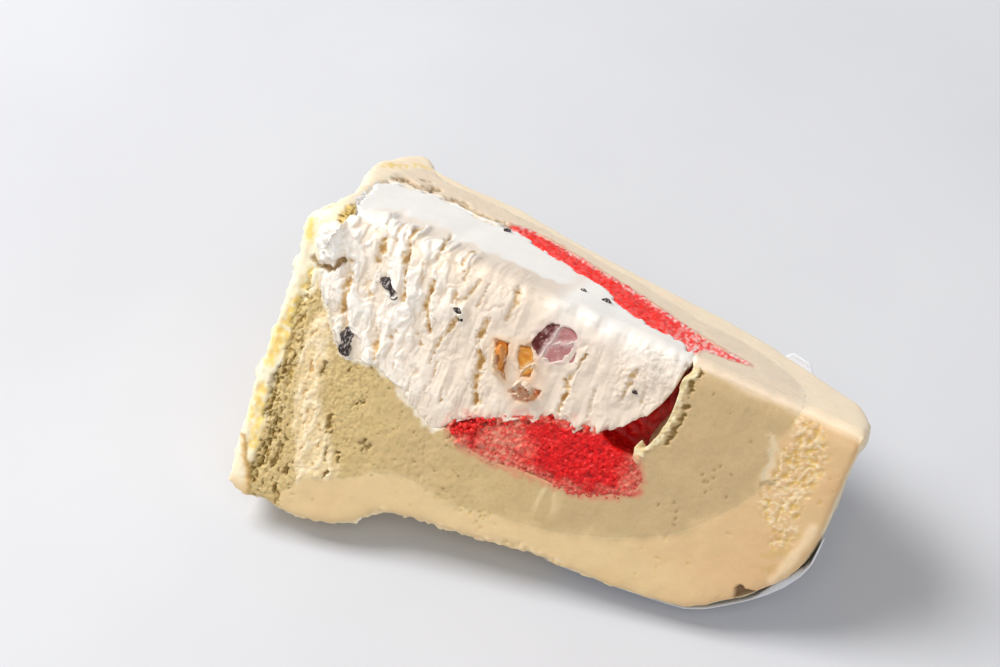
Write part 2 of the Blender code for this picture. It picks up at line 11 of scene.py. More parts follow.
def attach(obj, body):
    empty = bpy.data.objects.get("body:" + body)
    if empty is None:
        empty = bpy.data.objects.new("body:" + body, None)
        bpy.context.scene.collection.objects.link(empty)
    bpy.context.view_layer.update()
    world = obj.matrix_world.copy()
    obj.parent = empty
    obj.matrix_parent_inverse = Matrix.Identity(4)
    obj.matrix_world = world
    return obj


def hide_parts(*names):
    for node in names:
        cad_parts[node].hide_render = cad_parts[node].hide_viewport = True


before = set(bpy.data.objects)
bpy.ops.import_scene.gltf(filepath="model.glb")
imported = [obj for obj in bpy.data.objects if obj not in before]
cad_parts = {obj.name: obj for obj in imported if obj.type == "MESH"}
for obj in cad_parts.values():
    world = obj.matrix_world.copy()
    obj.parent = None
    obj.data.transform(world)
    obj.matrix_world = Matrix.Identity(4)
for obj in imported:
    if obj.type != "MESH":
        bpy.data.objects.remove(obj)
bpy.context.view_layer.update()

# ---- The slice's own frame ----
# Looks are worked out in millimetres as (height along the dome's axis, distance from the
# upper cut, depth behind the front cut). The angles and the base centre are the model's.
# Relief is in millimetres too. A noise is given the size of its lumps, one length or one
# along each axis, and a seed; a ramp is given where a mark starts and where it is full.
AXIS_DROP = math.radians(10.93)
CONTACT_ANGLE = math.radians(30.6)
HEADING = math.radians(-23.08)
BASE_CENTRE = np.array([-0.04028, -0.00072, 0.0619])
MM = 0.001

LIE = np.array(
    Matrix.Rotation(HEADING, 3, "Z")
    @ Matrix.Rotation(AXIS_DROP, 3, "Y")
    @ Matrix.Rotation(-math.pi / 2 - CONTACT_ANGLE, 3, "X"))

ICE_NODES = ("vanilla_cream", "pistachio_cream", "red_sponge", "white_filling")
EDGE_RADIUS = 2.5                   # rounding of the edge where the two cuts meet
OVERLAP = 0.85                      # how far a layer reaches under its neighbour
FINE_DEPTH = 1.2                    # the mesh is finer down to here under the cuts,
CUT_SKIN = (0.3, 1.3)               # and the relief of a cut fades out between these depths
FACE_ZONE = 2.6                     # the torn front reaches at most this far behind its cut
SHEET_REACH = 0.85                  # sides of layers nearer than this to each other are inner
EDGE_DEPTH = 0.7                    # the sharp edges of the cuts lie less deep than this,
EDGE_FACING = 0.9                   # turned away from the cut by more than this cosine says,
EDGE_CLEARANCE = 2.2                # and farther than this from the other layers
MELT_REACH = 4.5
MELT_ROUNDS = 110
MELT_GAIN = 1.6


def to_slice(world):
    """World metres to millimetres in the slice's frame."""
    return (np.asarray(world, float) - BASE_CENTRE) @ LIE / MM


def to_world(points):
    """Millimetres in the slice's frame to world metres."""
    return np.asarray(points, float) * MM @ LIE.T + BASE_CENTRE


def srgb(red, green, blue):
    """Linear colour of an 8-bit display colour."""
    parts = np.array([red, green, blue]) / 255.0
    return np.where(parts <= 0.04045, parts / 12.92, ((parts + 0.055) / 1.055) ** 2.4)


# ---- Procedural noise on arrays ----
RANDOM = np.random.RandomState(11)
TABLE = RANDOM.permutation(256)
SLOPES = RANDOM.normal(size=(256, 3))
SLOPES /= np.linalg.norm(SLOPES, axis=1, keepdims=True)


def hashed(cells):
    """A table index for each integer cell."""
    cells = cells & 255
    return TABLE[(TABLE[(TABLE[cells[:, 0]] + cells[:, 1]) & 255] + cells[:, 2]) & 255]


def noise(points, size, seed=0.0):
    """Smooth gradient noise, about -1 to 1; size is one length or one for each axis."""
    spot = points / np.asarray(size, float) + seed * 7.31
    cell = np.floor(spot).astype(int)
    inside = spot - cell
    ease = inside ** 3 * (inside * (inside * 6 - 15) + 10)
    total = np.zeros(len(points))
    for corner in np.ndindex(2, 2, 2):
        corner = np.array(corner)
        slope = SLOPES[hashed(cell + corner)]
        share = np.prod(np.where(corner, ease, 1 - ease), axis=1)
        total += share * ((inside - corner) * slope).sum(1)
    return total * 1.7


def layered(points, size, octaves=3, seed=0.0, fade=0.5):
    """Noise with finer and fainter copies of itself."""
    size = np.asarray(size, float)
    total = np.zeros(len(points))
    for octave in range(octaves):
        total += fade ** octave * noise(points, size / 2 ** octave, seed + octave)
    return total


def ridged(points, size, seed=0.0):
    """1 on the crest lines of a noise, 0 and less between them."""
    return 1.0 - 2.0 * np.abs(noise(points, size, seed))


def flaws(points, size, seed):
    """Noise whose high spots have crumbly outlines, about -1.5 to 1.5."""
    return layered(points, size, 3, seed, 0.6)


def lobes(points, size, seed, width=0.13):
    """Rounded lobes, near 1, parted by narrow creases of height 0."""
    return 1 - np.exp(-np.abs(noise(points, size, seed)) / width)


def ramp(values, low, high):
    """0 at low, 1 at high, smooth between; low may be the greater."""
    t = np.clip((values - low) / (high - low), 0, 1)
    return t * t * (3 - 2 * t)


def mix(first, second, share):
    """Blend two colours, or arrays of colours, by a share for each point."""
    share = np.clip(share, 0, 1)[:, None]
    return np.asarray(first) * (1 - share) + np.asarray(second) * share


def tinted(color, tints):
    """A colour with tints laid over it in turn; a tint is (tone, share for each point)."""
    for tone, share in tints:
        color = mix(color, tone, share)
    return color


# ---- Strokes and outlines on the cuts ----
def near_line(points, line):
    """Distance on the unrolled cuts from a polyline of (height, distance) corners."""
    spots = points[:, :2]
    best = np.full(len(points), 1e9)
    for start, end in zip(line, line[1:]):
        start, end = np.array(start, float), np.array(end, float)
        run = end - start
        share = np.clip((spots - start) @ run / max(run @ run, 1e-9), 0, 1)
        away = np.linalg.norm(spots - start - share[:, None] * run, axis=1)
        best = np.minimum(best, away)
    return best


def bent_by(points, seed, amount):
    """Points shifted by a coarse and a fine noise, so that marks get ragged outlines."""
    bent = points.copy()
    for axis in (0, 1):
        coarse = noise(points, 1.7, seed + axis)
        fine = noise(points, 0.65, seed + 2 + axis)
        bent[:, axis] += amount * (coarse + 0.7 * fine)
    return bent


def strokes(points, marks, seed, fray=0.35, rim=1.3, core=0.5):
    """1 on the listed ragged strokes, 0 off them; a mark is (line, half width)."""
    bent = bent_by(points, seed, fray)
    best = np.zeros(len(points))
    for line, half_width in marks:
        best = np.maximum(best, ramp(near_line(bent, line) / half_width, rim, core))
    return best


def shape_depth(points, corners):
    """Distance inside a closed outline on the unrolled cuts; negative outside it."""
    x, y = points[:, 0], points[:, 1]
    inside = np.zeros(len(points), bool)
    for (x1, y1), (x2, y2) in zip(corners, corners[1:] + corners[:1]):
        if y1 != y2:
            inside ^= ((y1 > y) != (y2 > y)) & (x < (x2 - x1) * (y - y1) / (y2 - y1) + x1)
    away = near_line(points, corners + corners[:1])
    return np.where(inside, away, -away)


def cut_frame(points):
    """Depth under the two rounded cuts and the direction straight out of them."""
    lower = EDGE_RADIUS - np.minimum(points[:, 1], EDGE_RADIUS)
    back = EDGE_RADIUS - np.minimum(points[:, 2], EDGE_RADIUS)
    length = np.maximum(np.hypot(lower, back), 1e-6)
    outward = np.zeros_like(points)
    outward[:, 1] = -lower / length
    outward[:, 2] = -back / length
    return EDGE_RADIUS - length, outward


def upper_share(outward):
    """1 where a cut faces up, 0 where it faces the front, by the direction out of it."""
    return ramp(-outward[:, 1], 0.45, 0.95)


def unrolled(points, stretch=1.0):
    """The cuts laid flat: height, and distance down the front or, negative, over the top.

    What is laid out there is stretched over the upper cut by a factor.
    """
    flat = np.zeros_like(points)
    flat[:, 0] = points[:, 0]
    over = points[:, 2] * (1 - ramp(points[:, 1], 0.5, 4.0)) / stretch
    flat[:, 1] = points[:, 1] - over
    return flat


def flushed(points):
    """Points near a cut moved onto it, free of the steps of the even mesh."""
    depth, outward = cut_frame(points)
    return points + outward * (depth * ramp(np.abs(depth), 0.45, 0.25))[:, None]


# ---- Meshes from the frame ----
def rows_of(items, key, kind=np.float32):
    """An attribute of a mesh's items as rows of three numbers."""
    values = np.zeros(len(items) * 3, kind)
    items.foreach_get(key, values)
    return values.reshape(-1, 3)


def node_arrays(name):
    """Corner points, in slice millimetres, and triangles of a CAD node."""
    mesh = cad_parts[name].data
    mesh.calc_loop_triangles()
    triangles = rows_of(mesh.loop_triangles, "vertices", np.int32)
    return to_slice(rows_of(mesh.vertices, "co")), triangles


def welded(points, triangles):
    """Join corners that lie on one spot."""
    keys = np.round(points / 2e-3).astype(int)
    _, first, place = np.unique(keys, axis=0, return_index=True, return_inverse=True)
    triangles = place.reshape(-1)[triangles]
    whole = ((triangles[:, 0] != triangles[:, 1]) & (triangles[:, 1] != triangles[:, 2])
             & (triangles[:, 0] != triangles[:, 2]))
    return points[first], triangles[whole]


NODE_SHAPES = {name: welded(*node_arrays(name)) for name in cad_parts}
NODE_TREES = {name: BVHTree.FromPolygons(points.tolist(), triangles.tolist())
              for name, (points, triangles) in NODE_SHAPES.items()}


def distance_to(points, names, reach=9.0, only=None):
    """Distance from each point to the nearest surface of some nodes, up to a reach."""
    found = np.full(len(points), reach)
    indices = range(len(points)) if only is None else np.flatnonzero(only)
    for name in names:
        tree = NODE_TREES[name]
        for index in indices:
            hit = tree.find_nearest(points[index], found[index])
            if hit[3] is not None:
                found[index] = hit[3]
    return found


def layer_distances(points, shown):
    """Distance from each shown point to each layer."""
    return {name: distance_to(points, [name], 5.0, shown) for name in ICE_NODES}


def new_mesh_object(name, points, faces):
    """An object whose mesh is in slice millimetres until settle() moves it."""
    mesh = bpy.data.meshes.new(name)
    mesh.from_pydata([tuple(p) for p in points], [], [tuple(map(int, f)) for f in faces])
    piece = bpy.data.objects.new(name, mesh)
    bpy.context.scene.collection.objects.link(piece)
    return piece


def points_of(piece):
    """A piece's points as an array."""
    return rows_of(piece.data.vertices, "co").astype(float)


def normals_of(piece):
    """A piece's vertex normals as an array."""
    return rows_of(piece.data.vertices, "normal").astype(float)


def set_points(piece, points):
    """Move a piece's points."""
    piece.data.vertices.foreach_set("co", points.astype(np.float32).ravel())
    piece.data.update()


def grown_layer(name):
    """A layer's corners with its inner sides pushed into its neighbours."""
    points, triangles = NODE_SHAPES[name]
    others = [other for other in ICE_NODES if other != name]
    first, second, third = (points[triangles[:, k]] for k in range(3))
    facing = np.cross(second - first, third - first)
    size = np.linalg.norm(facing, axis=1, keepdims=True)
    facing = facing / np.maximum(size, 1e-12)
    middle = (first + second + third) / 3
    front = (facing[:, 2] < -0.35) & (middle[:, 2] < FACE_ZONE)
    upper = (facing[:, 1] < -0.9) & (middle[:, 1] < 0.05)
    inner = ~front & ~upper & (distance_to(middle, others, 0.9) < SHEET_REACH)
    push = np.zeros_like(points)
    for corner in range(3):
        np.add.at(push, triangles[inner, corner], facing[inner] * size[inner])
    push[triangles[front].ravel(), 2] = 0.0
    push[triangles[upper].ravel(), 1] = 0.0
    length = np.linalg.norm(push, axis=1, keepdims=True)
    push = np.where(length > 1e-9, push / np.maximum(length, 1e-9), 0.0)
    return points + push * OVERLAP, triangles


def near_cuts(depth):
    """A test for spots that lie less deep than this under the two cuts."""
    return lambda spots: cut_frame(spots)[0] < depth


def apply_modifiers(piece):
    """Give a piece the mesh that its modifiers make."""
    bpy.context.view_layer.update()
    evaluated = piece.evaluated_get(bpy.context.evaluated_depsgraph_get())
    mesh = bpy.data.meshes.new_from_object(evaluated)
    piece.modifiers.clear()
    piece.data = mesh


def remeshed(name, points, triangles, voxel, finer=()):
    """An even mesh of a shape, halved again where each of the tests in `finer` holds."""
    piece = new_mesh_object(name, points, triangles)
    modifier = piece.modifiers.new("remesh", "REMESH")
    modifier.mode = "VOXEL"
    modifier.voxel_size = voxel
    modifier.adaptivity = 0.0
    apply_modifiers(piece)
    for test in finer:
        subdivide(piece, test)
    return piece


def subdivide(piece, where):
    """Halve the faces whose middles are where asked."""
    mesh = piece.data
    wanted = where(rows_of(mesh.polygons, "center").astype(float))
    work = bmesh.new()
    work.from_mesh(mesh)
    work.faces.ensure_lookup_table()
    edges = set()
    for index in np.flatnonzero(wanted):
        edges.update(work.faces[index].edges)
    bmesh.ops.subdivide_edges(work, edges=list(edges), cuts=1, use_grid_fill=True)
    work.to_mesh(mesh)
    work.free()


def melt_edges(piece, own):
    """Round off the edges where the two cuts meet the skin."""
    points, normals = points_of(piece), normals_of(piece)
    depth, outward = cut_frame(points)
    sharp = (depth < EDGE_DEPTH) & ((normals * outward).sum(1) < EDGE_FACING)
    others = [name for name in ICE_NODES if name != own]
    sharp &= distance_to(points, others, 3.0, sharp) > EDGE_CLEARANCE
    tree = KDTree(int(sharp.sum()))
    for number, index in enumerate(np.flatnonzero(sharp)):
        tree.insert(points[index], number)
    tree.balance()
    group = piece.vertex_groups.new(name="edge")
    for index in np.flatnonzero(depth < EDGE_RADIUS - 0.01):
        away = tree.find(points[index])[2]
        if away < MELT_REACH:
            share = min(1.0, MELT_GAIN * (1 - away / MELT_REACH))
            group.add([int(index)], share, "REPLACE")
    modifier = piece.modifiers.new("melt", "SMOOTH")
    modifier.factor = 0.5
    modifier.iterations = MELT_ROUNDS
    modifier.vertex_group = "edge"
    apply_modifiers(piece)
    piece.vertex_groups.clear()


def paint(piece, colors):
    """Store a colour for each point, which the piece's material reads."""
    layer = piece.data.color_attributes.new("paint", "FLOAT_COLOR", "POINT")
    full = np.ones((len(colors), 4), np.float32)
    full[:, :3] = colors
    layer.data.foreach_set("color", full.ravel())


def settle(piece, node_names, material):
    """Move a finished piece to the world, dress it and tie it to the frame."""
    set_points(piece, to_world(points_of(piece)))
    piece.data.materials.clear()
    piece.data.materials.append(material)
    piece.data.shade_smooth()
    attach(piece, "root")
    if node_names:
        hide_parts(*node_names)


def keep_above_ground(points):
    """Hold points at or above the ground."""
    world = to_world(points)
    world[:, 2] = np.maximum(world[:, 2], 0.0)
    return to_slice(world)


# ---- Materials ----
def shader_tools(name):
    """A new material and short helpers for its nodes."""
    material = bpy.data.materials.new(name)
    material.use_nodes = True
    tree = material.node_tree
    shader = tree.nodes["Principled BSDF"]
    place = tree.nodes.new("ShaderNodeTexCoord").outputs["Object"]

    def node(kind, inputs=(), **settings):
        made = tree.nodes.new("ShaderNode" + kind)
        for key, value in settings.items():
            setattr(made, key, value)
        for key, value in dict(inputs).items():
            if isinstance(value, bpy.types.NodeSocket):
                tree.links.new(value, made.inputs[key])
            else:
                made.inputs[key].default_value = value
        return made

    def texture(scale, detail=3.0, roughness=0.5):
        inputs = {"Vector": place, "Scale": scale, "Detail": detail, "Roughness": roughness}
        return node("TexNoise", inputs)

    def spread(value, low, high, to_low=0.0, to_high=1.0):
        return node("MapRange", {"Value": value, "From Min": low, "From Max": high,
                                 "To Min": to_low, "To Max": to_high}).outputs["Result"]

    def blend(first, second, share, mode="MIX"):
        inputs = {6: first, 7: second, 0: share}
        made = node("Mix", inputs, data_type="RGBA", blend_type=mode, clamp_result=False)
        return made.outputs[2]

    return material, tree, shader, node, texture, spread, blend


def ice_material(name, roughness=0.48, grain=0.35, scatter=0.3, tint_radius=(1.0, 0.6, 0.35),
                 mottle=0.05, coat=0.0, gloss_patches=0.08):
    """Moist, slightly see-through food: painted colour, mottling, grain and gloss."""
    material, tree, shader, node, texture, spread, blend = shader_tools(name)
    painted = node("Attribute", attribute_name="paint").outputs["Color"]
    broad = texture(260.0, 4.0, 0.6).outputs["Fac"]
    fine = texture(3200.0, 3.0, 0.6).outputs["Fac"]
    darker = spread(broad, 0.3, 0.7, 1.0 - mottle, 1.0 + mottle * 0.5)
    grainy = spread(fine, 0.3, 0.7, 1.0 - mottle * 0.9, 1.0 + mottle * 0.5)
    both = node("Math", {0: darker, 1: grainy}, operation="MULTIPLY").outputs[0]
    tint = node("CombineColor", {0: both, 1: both, 2: both}).outputs[0]
    tree.links.new(blend(painted, tint, 1.0, "MULTIPLY"), shader.inputs["Base Color"])
    wet = texture(420.0, 2.0, 0.5).outputs["Fac"]
    gloss = spread(wet, 0.35, 0.65, roughness - gloss_patches, roughness + gloss_patches)
    tree.links.new(gloss, shader.inputs["Roughness"])
    height = texture(3600.0, 4.0, 0.6).outputs["Fac"]
    bump = node("Bump", {"Height": height, "Strength": grain, "Distance": 0.00012})
    tree.links.new(bump.outputs["Normal"], shader.inputs["Normal"])
    settings = {"Subsurface Weight": scatter, "Subsurface Radius": tint_radius,
                "Subsurface Scale": 0.0016, "IOR": 1.36, "Coat Weight": coat,
                "Coat Roughness": 0.25}
    for key, value in settings.items():
        shader.inputs[key].default_value = value
    return material


# ---- The wall of the slice: cream outside, pistachio inside ----
WALL_VOXELS = {"vanilla_cream": 0.72, "pistachio_cream": 0.73}
CREAM = srgb(223, 195, 147)
CREAM_CROWN = srgb(217, 178, 131)
CREAM_RIM = srgb(250, 238, 208)
# painted light: the upper cut of the cream is painted lighter than its front, for the brighter light and
# sheen on top
CREAM_TOP_PAINTED_LIGHT = srgb(249, 227, 195)
CREAM_YELLOW = srgb(240, 204, 96)
PISTACHIO = srgb(207, 180, 131)
# painted light: the upper cut of the pistachio is painted lighter than its front, for the brighter light
# and sheen on top
PISTACHIO_TOP_PAINTED_LIGHT = srgb(235, 214, 187)
OLIVE = srgb(140, 108, 36)
SMEAR = srgb(236, 211, 164)
CREAM_SHADE, CREAM_FOOT = srgb(216, 184, 134), srgb(246, 226, 188)
CREAM_VEIN, CREAM_GLEAM = srgb(250, 234, 198), srgb(244, 222, 186)
PORE_TAN, CROWN_STAIN = srgb(224, 184, 92), srgb(204, 172, 104)
PISTACHIO_SHADE, PISTACHIO_LEFT = srgb(198, 170, 120), srgb(212, 185, 126)
PISTACHIO_RIGHT, PISTACHIO_PALE = srgb(196, 168, 125), srgb(222, 196, 148)
SPECK, STREAK, HOLE_TAN = srgb(176, 148, 92), srgb(252, 234, 200), srgb(218, 170, 100)
GRAIN_DARK, GRAIN_PALE = srgb(178, 150, 90), srgb(228, 204, 152)
FLAP_DARK, FLAP_PALE, DRAG_PALE = srgb(230, 208, 156), srgb(246, 234, 196), srgb(222, 198, 152)
SYRUP_STAIN, SYRUP_TIP = srgb(214, 128, 100), srgb(206, 70, 64)
SMUDGE_FRONT, SMUDGE_TOP = srgb(246, 234, 214), srgb(250, 244, 234)
SMUDGE_PALE, SMUDGE_GREY = srgb(228, 208, 174), srgb(150, 132, 100)
TIP_PALE, TIP_OCHRE = srgb(248, 234, 202), srgb(214, 168, 92)
TIP_LOW, TIP_BORDER = srgb(222, 192, 142), srgb(166, 128, 56)
SKIN_PALE, SKIN_DEEP, SKIN_FROST = srgb(242, 226, 192), srgb(236, 212, 168), srgb(252, 246, 232)
BASE_TONE, BASE_PIT = srgb(226, 200, 152), srgb(196, 158, 96)
# painted shadow under the white lump of the filling
UNDERCUT_SHADOW = srgb(170, 134, 60)

CRYSTAL_SHAPE = [(96.4, 0.6), (102.2, 1.3), (105.1, 5.4), (106.3, 11.2), (105.1, 16.1), (105.4, 20.2),
                 (106.4, 25.2), (103.3, 27.3), (99.8, 23.3), (96.8, 19.6), (97.4, 13.7), (97.6, 7.5)]
GREY_SMUDGE = [([(96.4, 17.3), (97.2, 16.0), (98.2, 15.4)], 0.6)]
PALE_SMUDGE = [([(94.6, 7.6), (95.8, 10.0), (96.6, 12.8), (96.3, 15.5)], 0.9)]
CROWN_STAINS = [([(102.8, 32.1), (104.8, 30.9)], 0.6), ([(102.3, 29.5), (105.8, 26.5)], 0.7),
                ([(105.4, 24.6), (106.8, 23.0)], 0.6)]
CROWN_GLEAM = [(105.6, 33.4), (106.8, 29.3), (107.8, 25.4), (108.6, 21.0)]
PIN_HOLES = [(81.4, 4.5), (91.4, 10.1), (91.2, 22.0), (86.3, 21.0), (87.5, 19.6), (90.4, 17.6),
             (82.6, 27.3), (84.2, 31.4), (85.4, 19.9), (87.2, 22.8), (87.1, 18.1), (83.6, 28.8),
             (79.9, 29.0), (87.9, 16.9), (86.9, 20.8), (84.0, 30.1)]
PORE_LINE = [(37, 44.5), (44, 44.5), (49, 46.0)]
RIM_GROOVES = [
    ([(2.0, 34.9), (0.9, 37.5), (1.4, 41.1), (1.9, 45.2)], 0.9),
    ([(4.1, 44.5), (4.7, 47.5), (4.3, 50.0), (3.5, 52.6)], 0.75),
    ([(3.8, 53.6), (3.4, 56.0), (3.5, 58.9)], 0.8),
]
RIM_HOLLOWS = [
    ([(0.4, 20.6), (0.8, 24.6), (0.9, 27.0)], 0.7), ([(1.9, 24.1), (1.8, 26.7), (1.5, 30.1)], 0.7),
    ([(1.5, 31.0), (2.0, 33.6)], 0.6),
    ([(0.6, 16.0), (0.9, 18.2)], 0.5), ([(1.9, 57.4), (1.9, 60.1)], 0.9),
    ([(3.2, 33.4), (3.6, 37.5)], 0.6),
]
RIM_YELLOWS = [
    ([(-2.7, 5.4), (-2.1, 9.0)], 0.7), ([(-0.1, 14.5), (0.2, 18.3)], 0.6),
    ([(-0.2, 21.5), (-0.4, 26.4), (0.4, 29.5)], 1.1), ([(-1.4, 28.2), (-1.1, 31.3), (-1.3, 34.7)], 1.0),
    ([(-0.8, 40.7), (-0.8, 43.3), (-0.5, 47.7)], 1.0), ([(0.3, 43.9), (0.7, 49.4), (1.2, 52.5)], 0.8),
    ([(1.4, 57.4), (1.2, 60.1)], 0.7), ([(2.0, 41.0), (1.4, 44.0)], 0.6),
]
SMEAR_SHAPE = [(2.6, 26.5), (6.0, 18.4), (9.6, 27.0), (10.6, 36.0), (12.6, 41.0), (16.5, 46.0),
               (20.7, 53.6), (24.5, 57.6), (18.0, 63.0), (12.0, 63.0), (11.2, 54.0),
               (8.4, 45.5), (6.6, 40.0), (4.2, 33.0)]
DEEP_CRACKS = [
    ([(14.2, 40.0), (14.4, 41.5), (14.8, 43.4)], 0.65), ([(18.3, 35.7), (19.0, 34.7)], 0.5),
    ([(21.5, 42.7), (23.0, 41.5), (22.7, 44.1)], 0.5), ([(15.3, 46.0), (16.1, 49.4)], 0.45),
    ([(18.0, 46.3), (18.7, 48.2)], 0.45), ([(9.4, 32.9), (9.5, 30.3)], 0.5),
    ([(13.6, 30.6), (14.0, 29.1)], 0.5), ([(6.9, 50.0), (6.2, 54.8)], 0.5),
    ([(9.2, 53.8), (9.8, 56.2)], 0.45), ([(8.4, 58.0), (9.8, 61.0)], 0.5),
    ([(36.6, 35.2), (37.8, 32.9), (39.0, 30.6)], 0.38), ([(17.4, 50.6), (17.0, 52.4)], 0.4),
    ([(9.0, 22.4), (9.4, 25.0)], 0.5),
]
FLAP_CRACKS = [
    ([(77.6, -1.8), (77.4, -0.3), (77.9, 2.6)], 0.32), ([(77.6, 3.8), (77.8, 7.4)], 0.22),
    ([(78.2, 8.8), (78.1, 13.0), (77.2, 17.2)], 0.3),
]
FLAP_LINE = [(76.6, 0.5), (76.5, 4.7), (76.7, 11.9), (76.2, 16.7), (74.2, 20.1), (71.9, 22.6)]
DRAG_LINE = [(57.0, 28.5), (59.6, 38.5)]
FLAP_REACH = 0.9                    # how far the flap hangs over the opening
TOP_PITS = [
    ([(2.0, -36.4), (3.0, -39.4), (5.8, -38.0)], 1.5), ([(8.0, -38.4), (9.2, -42.6)], 1.5),
    ([(13.6, -38.2), (15.2, -41.0), (17.2, -38.2), (20.6, -37.4)], 1.3),
    ([(22.2, -37.4), (25.4, -38.4)], 1.0), ([(5.5, -44.0), (6.5, -46.0)], 0.7),
]
RIM_SEAM = [(1.0, 19.0), (1.9, 26.0), (2.8, 33.0), (3.4, 40.0), (4.6, 48.0), (4.0, 56.0)]
NOTCH_SHAPE = [(99.6, 38.0), (100.3, 36.8), (101.3, 37.3), (103.0, 37.0), (105.0, 36.4),
               (105.5, 39.0), (101.0, 42.0), (100.2, 41.5)]
TOP_YELLOWS = [([(-3.4, -42.5), (-0.7, -47.0), (1.9, -56.0)], 1.3)]
POROUS_SHAPE = [(2.0, -5.6), (3.6, -5.2), (4.5, -1.0), (4.6, 2.0), (4.0, 4.6), (2.2, 4.8), (1.3, 1.5),
                (1.6, -2.0)]
TIP_SHAPE = [(-8.0, 51.0), (-0.6, 51.0), (0.9, 54.0), (2.4, 57.0), (3.5, 59.5), (4.3, 62.0),
             (4.6, 66.0), (-8.0, 70.0)]
SPONGE_TIP = [(73.4, 23.6), (74.8, 25.4), (76.6, 28.2), (73.5, 29.8), (69.5, 31.6), (70.0, 28.0)]
TOOTH_LINE = [(72.2, 19.4), (72.9, 20.9), (73.2, 22.4)]
TOOTH_BEADS = [(72.2, 19.5, 0.6), (72.6, 20.4, 0.7), (73.0, 21.4, 0.75), (73.3, 22.6, 0.9)]
FOOT_ROUGH_LINE = [(30, 55.5), (36, 54.6), (44, 53.0), (51, 51.6), (58, 49.8), (66, 49.4)]


def cream_look(flat, upperness):
    """Outward height and colour of the cream wall where it is cut."""
    frontness = 1 - upperness
    height = flat[:, 0]
    rim = ramp(height + 0.8 * noise(flat, 3.0, 40), 3.2, 1.0)
    crystal = shape_depth(bent_by(flat, 41, 0.9), CRYSTAL_SHAPE) + 0.8 * noise(flat, 1.4, 42)
    crystal = ramp(crystal, -0.8, 0.9) * frontness
    veins = ramp(ridged(bent_by(flat, 43, 0.4), (1.5, 1.1, 1.0), 43), 0.55, 0.9) * crystal
    holes = ramp(flaws(flat, (0.9, 1.3, 1.0), 44), 0.1, 0.4) * crystal
    porous = ramp(near_line(flat, PORE_LINE) + 1.5 * noise(flat, 2.5, 45), 2.6, 1.2) * frontness
    porous = ramp(flaws(flat, (0.9, 1.1, 1.0), 46), 0.25, 0.5) * porous
    stray = ramp(flaws(flat, 1.3, 47), 0.85, 1.05) * frontness * (1 - rim)
    rough = ramp(near_line(flat, FOOT_ROUGH_LINE) + 0.9 * noise(flat, 2.0, 48), 2.6, 0.8)
    rough = rough * frontness
    yellow = strokes(flat, RIM_YELLOWS, 53, 0.5, 2.2, 0.2) * ramp(noise(flat, 1.2, 54), -0.9, 0.1)
    yellow = yellow * frontness
    streaks = ramp(ridged(flat, (1.6, 5.0, 1.0), 55), 0.2, 0.9)
    yellow = np.maximum(yellow, strokes(flat, TOP_YELLOWS, 55, 0.9, 2.0, 0.1) * streaks * upperness)

    out = 0.15 * layered(flat, 9.0, 3, 56) + 0.03 * noise(flat, 0.9, 57)
    out += 0.08 * veins - 0.28 * holes - 0.35 * porous - 0.2 * stray
    out += rough * (0.5 * layered(flat, 1.5, 3, 58) - 0.05)
    out += rim * frontness * 0.26 * layered(flat, (1.6, 3.0, 2.0), 3, 59)
    out -= 0.18 * yellow * frontness

    gleam = ramp(near_line(flat, CROWN_GLEAM) + 0.6 * noise(flat, 3.0, 64), 1.7, 0.2) * frontness
    crown = ramp(height, 70.0, 106.0) * 0.8 + 0.2 * layered(flat, 8.0, 3, 60)
    color = tinted(mix(CREAM, CREAM_CROWN, crown), [
        (CREAM_SHADE, 0.5 * ramp(noise(flat, (14.0, 4.0, 4.0), 61), 0.1, 0.9)),
        (CREAM_FOOT, 0.7 * rough * ramp(noise(flat, 1.1, 62), -0.2, 0.6)),
        (CREAM_RIM, rim * frontness),
        # painted light on the upper cut
        (CREAM_TOP_PAINTED_LIGHT, upperness),
        (PORE_TAN, 0.75 * np.clip(holes + porous + 0.6 * stray, 0, 1)),
        (CREAM_VEIN, 0.5 * veins),
        (CREAM_YELLOW, 0.85 * yellow),
        (CROWN_STAIN, 0.45 * strokes(flat, CROWN_STAINS, 63, 0.5) * frontness),
        (CREAM_GLEAM, 0.5 * gleam),
    ])
    return out + 0.15 * gleam, color


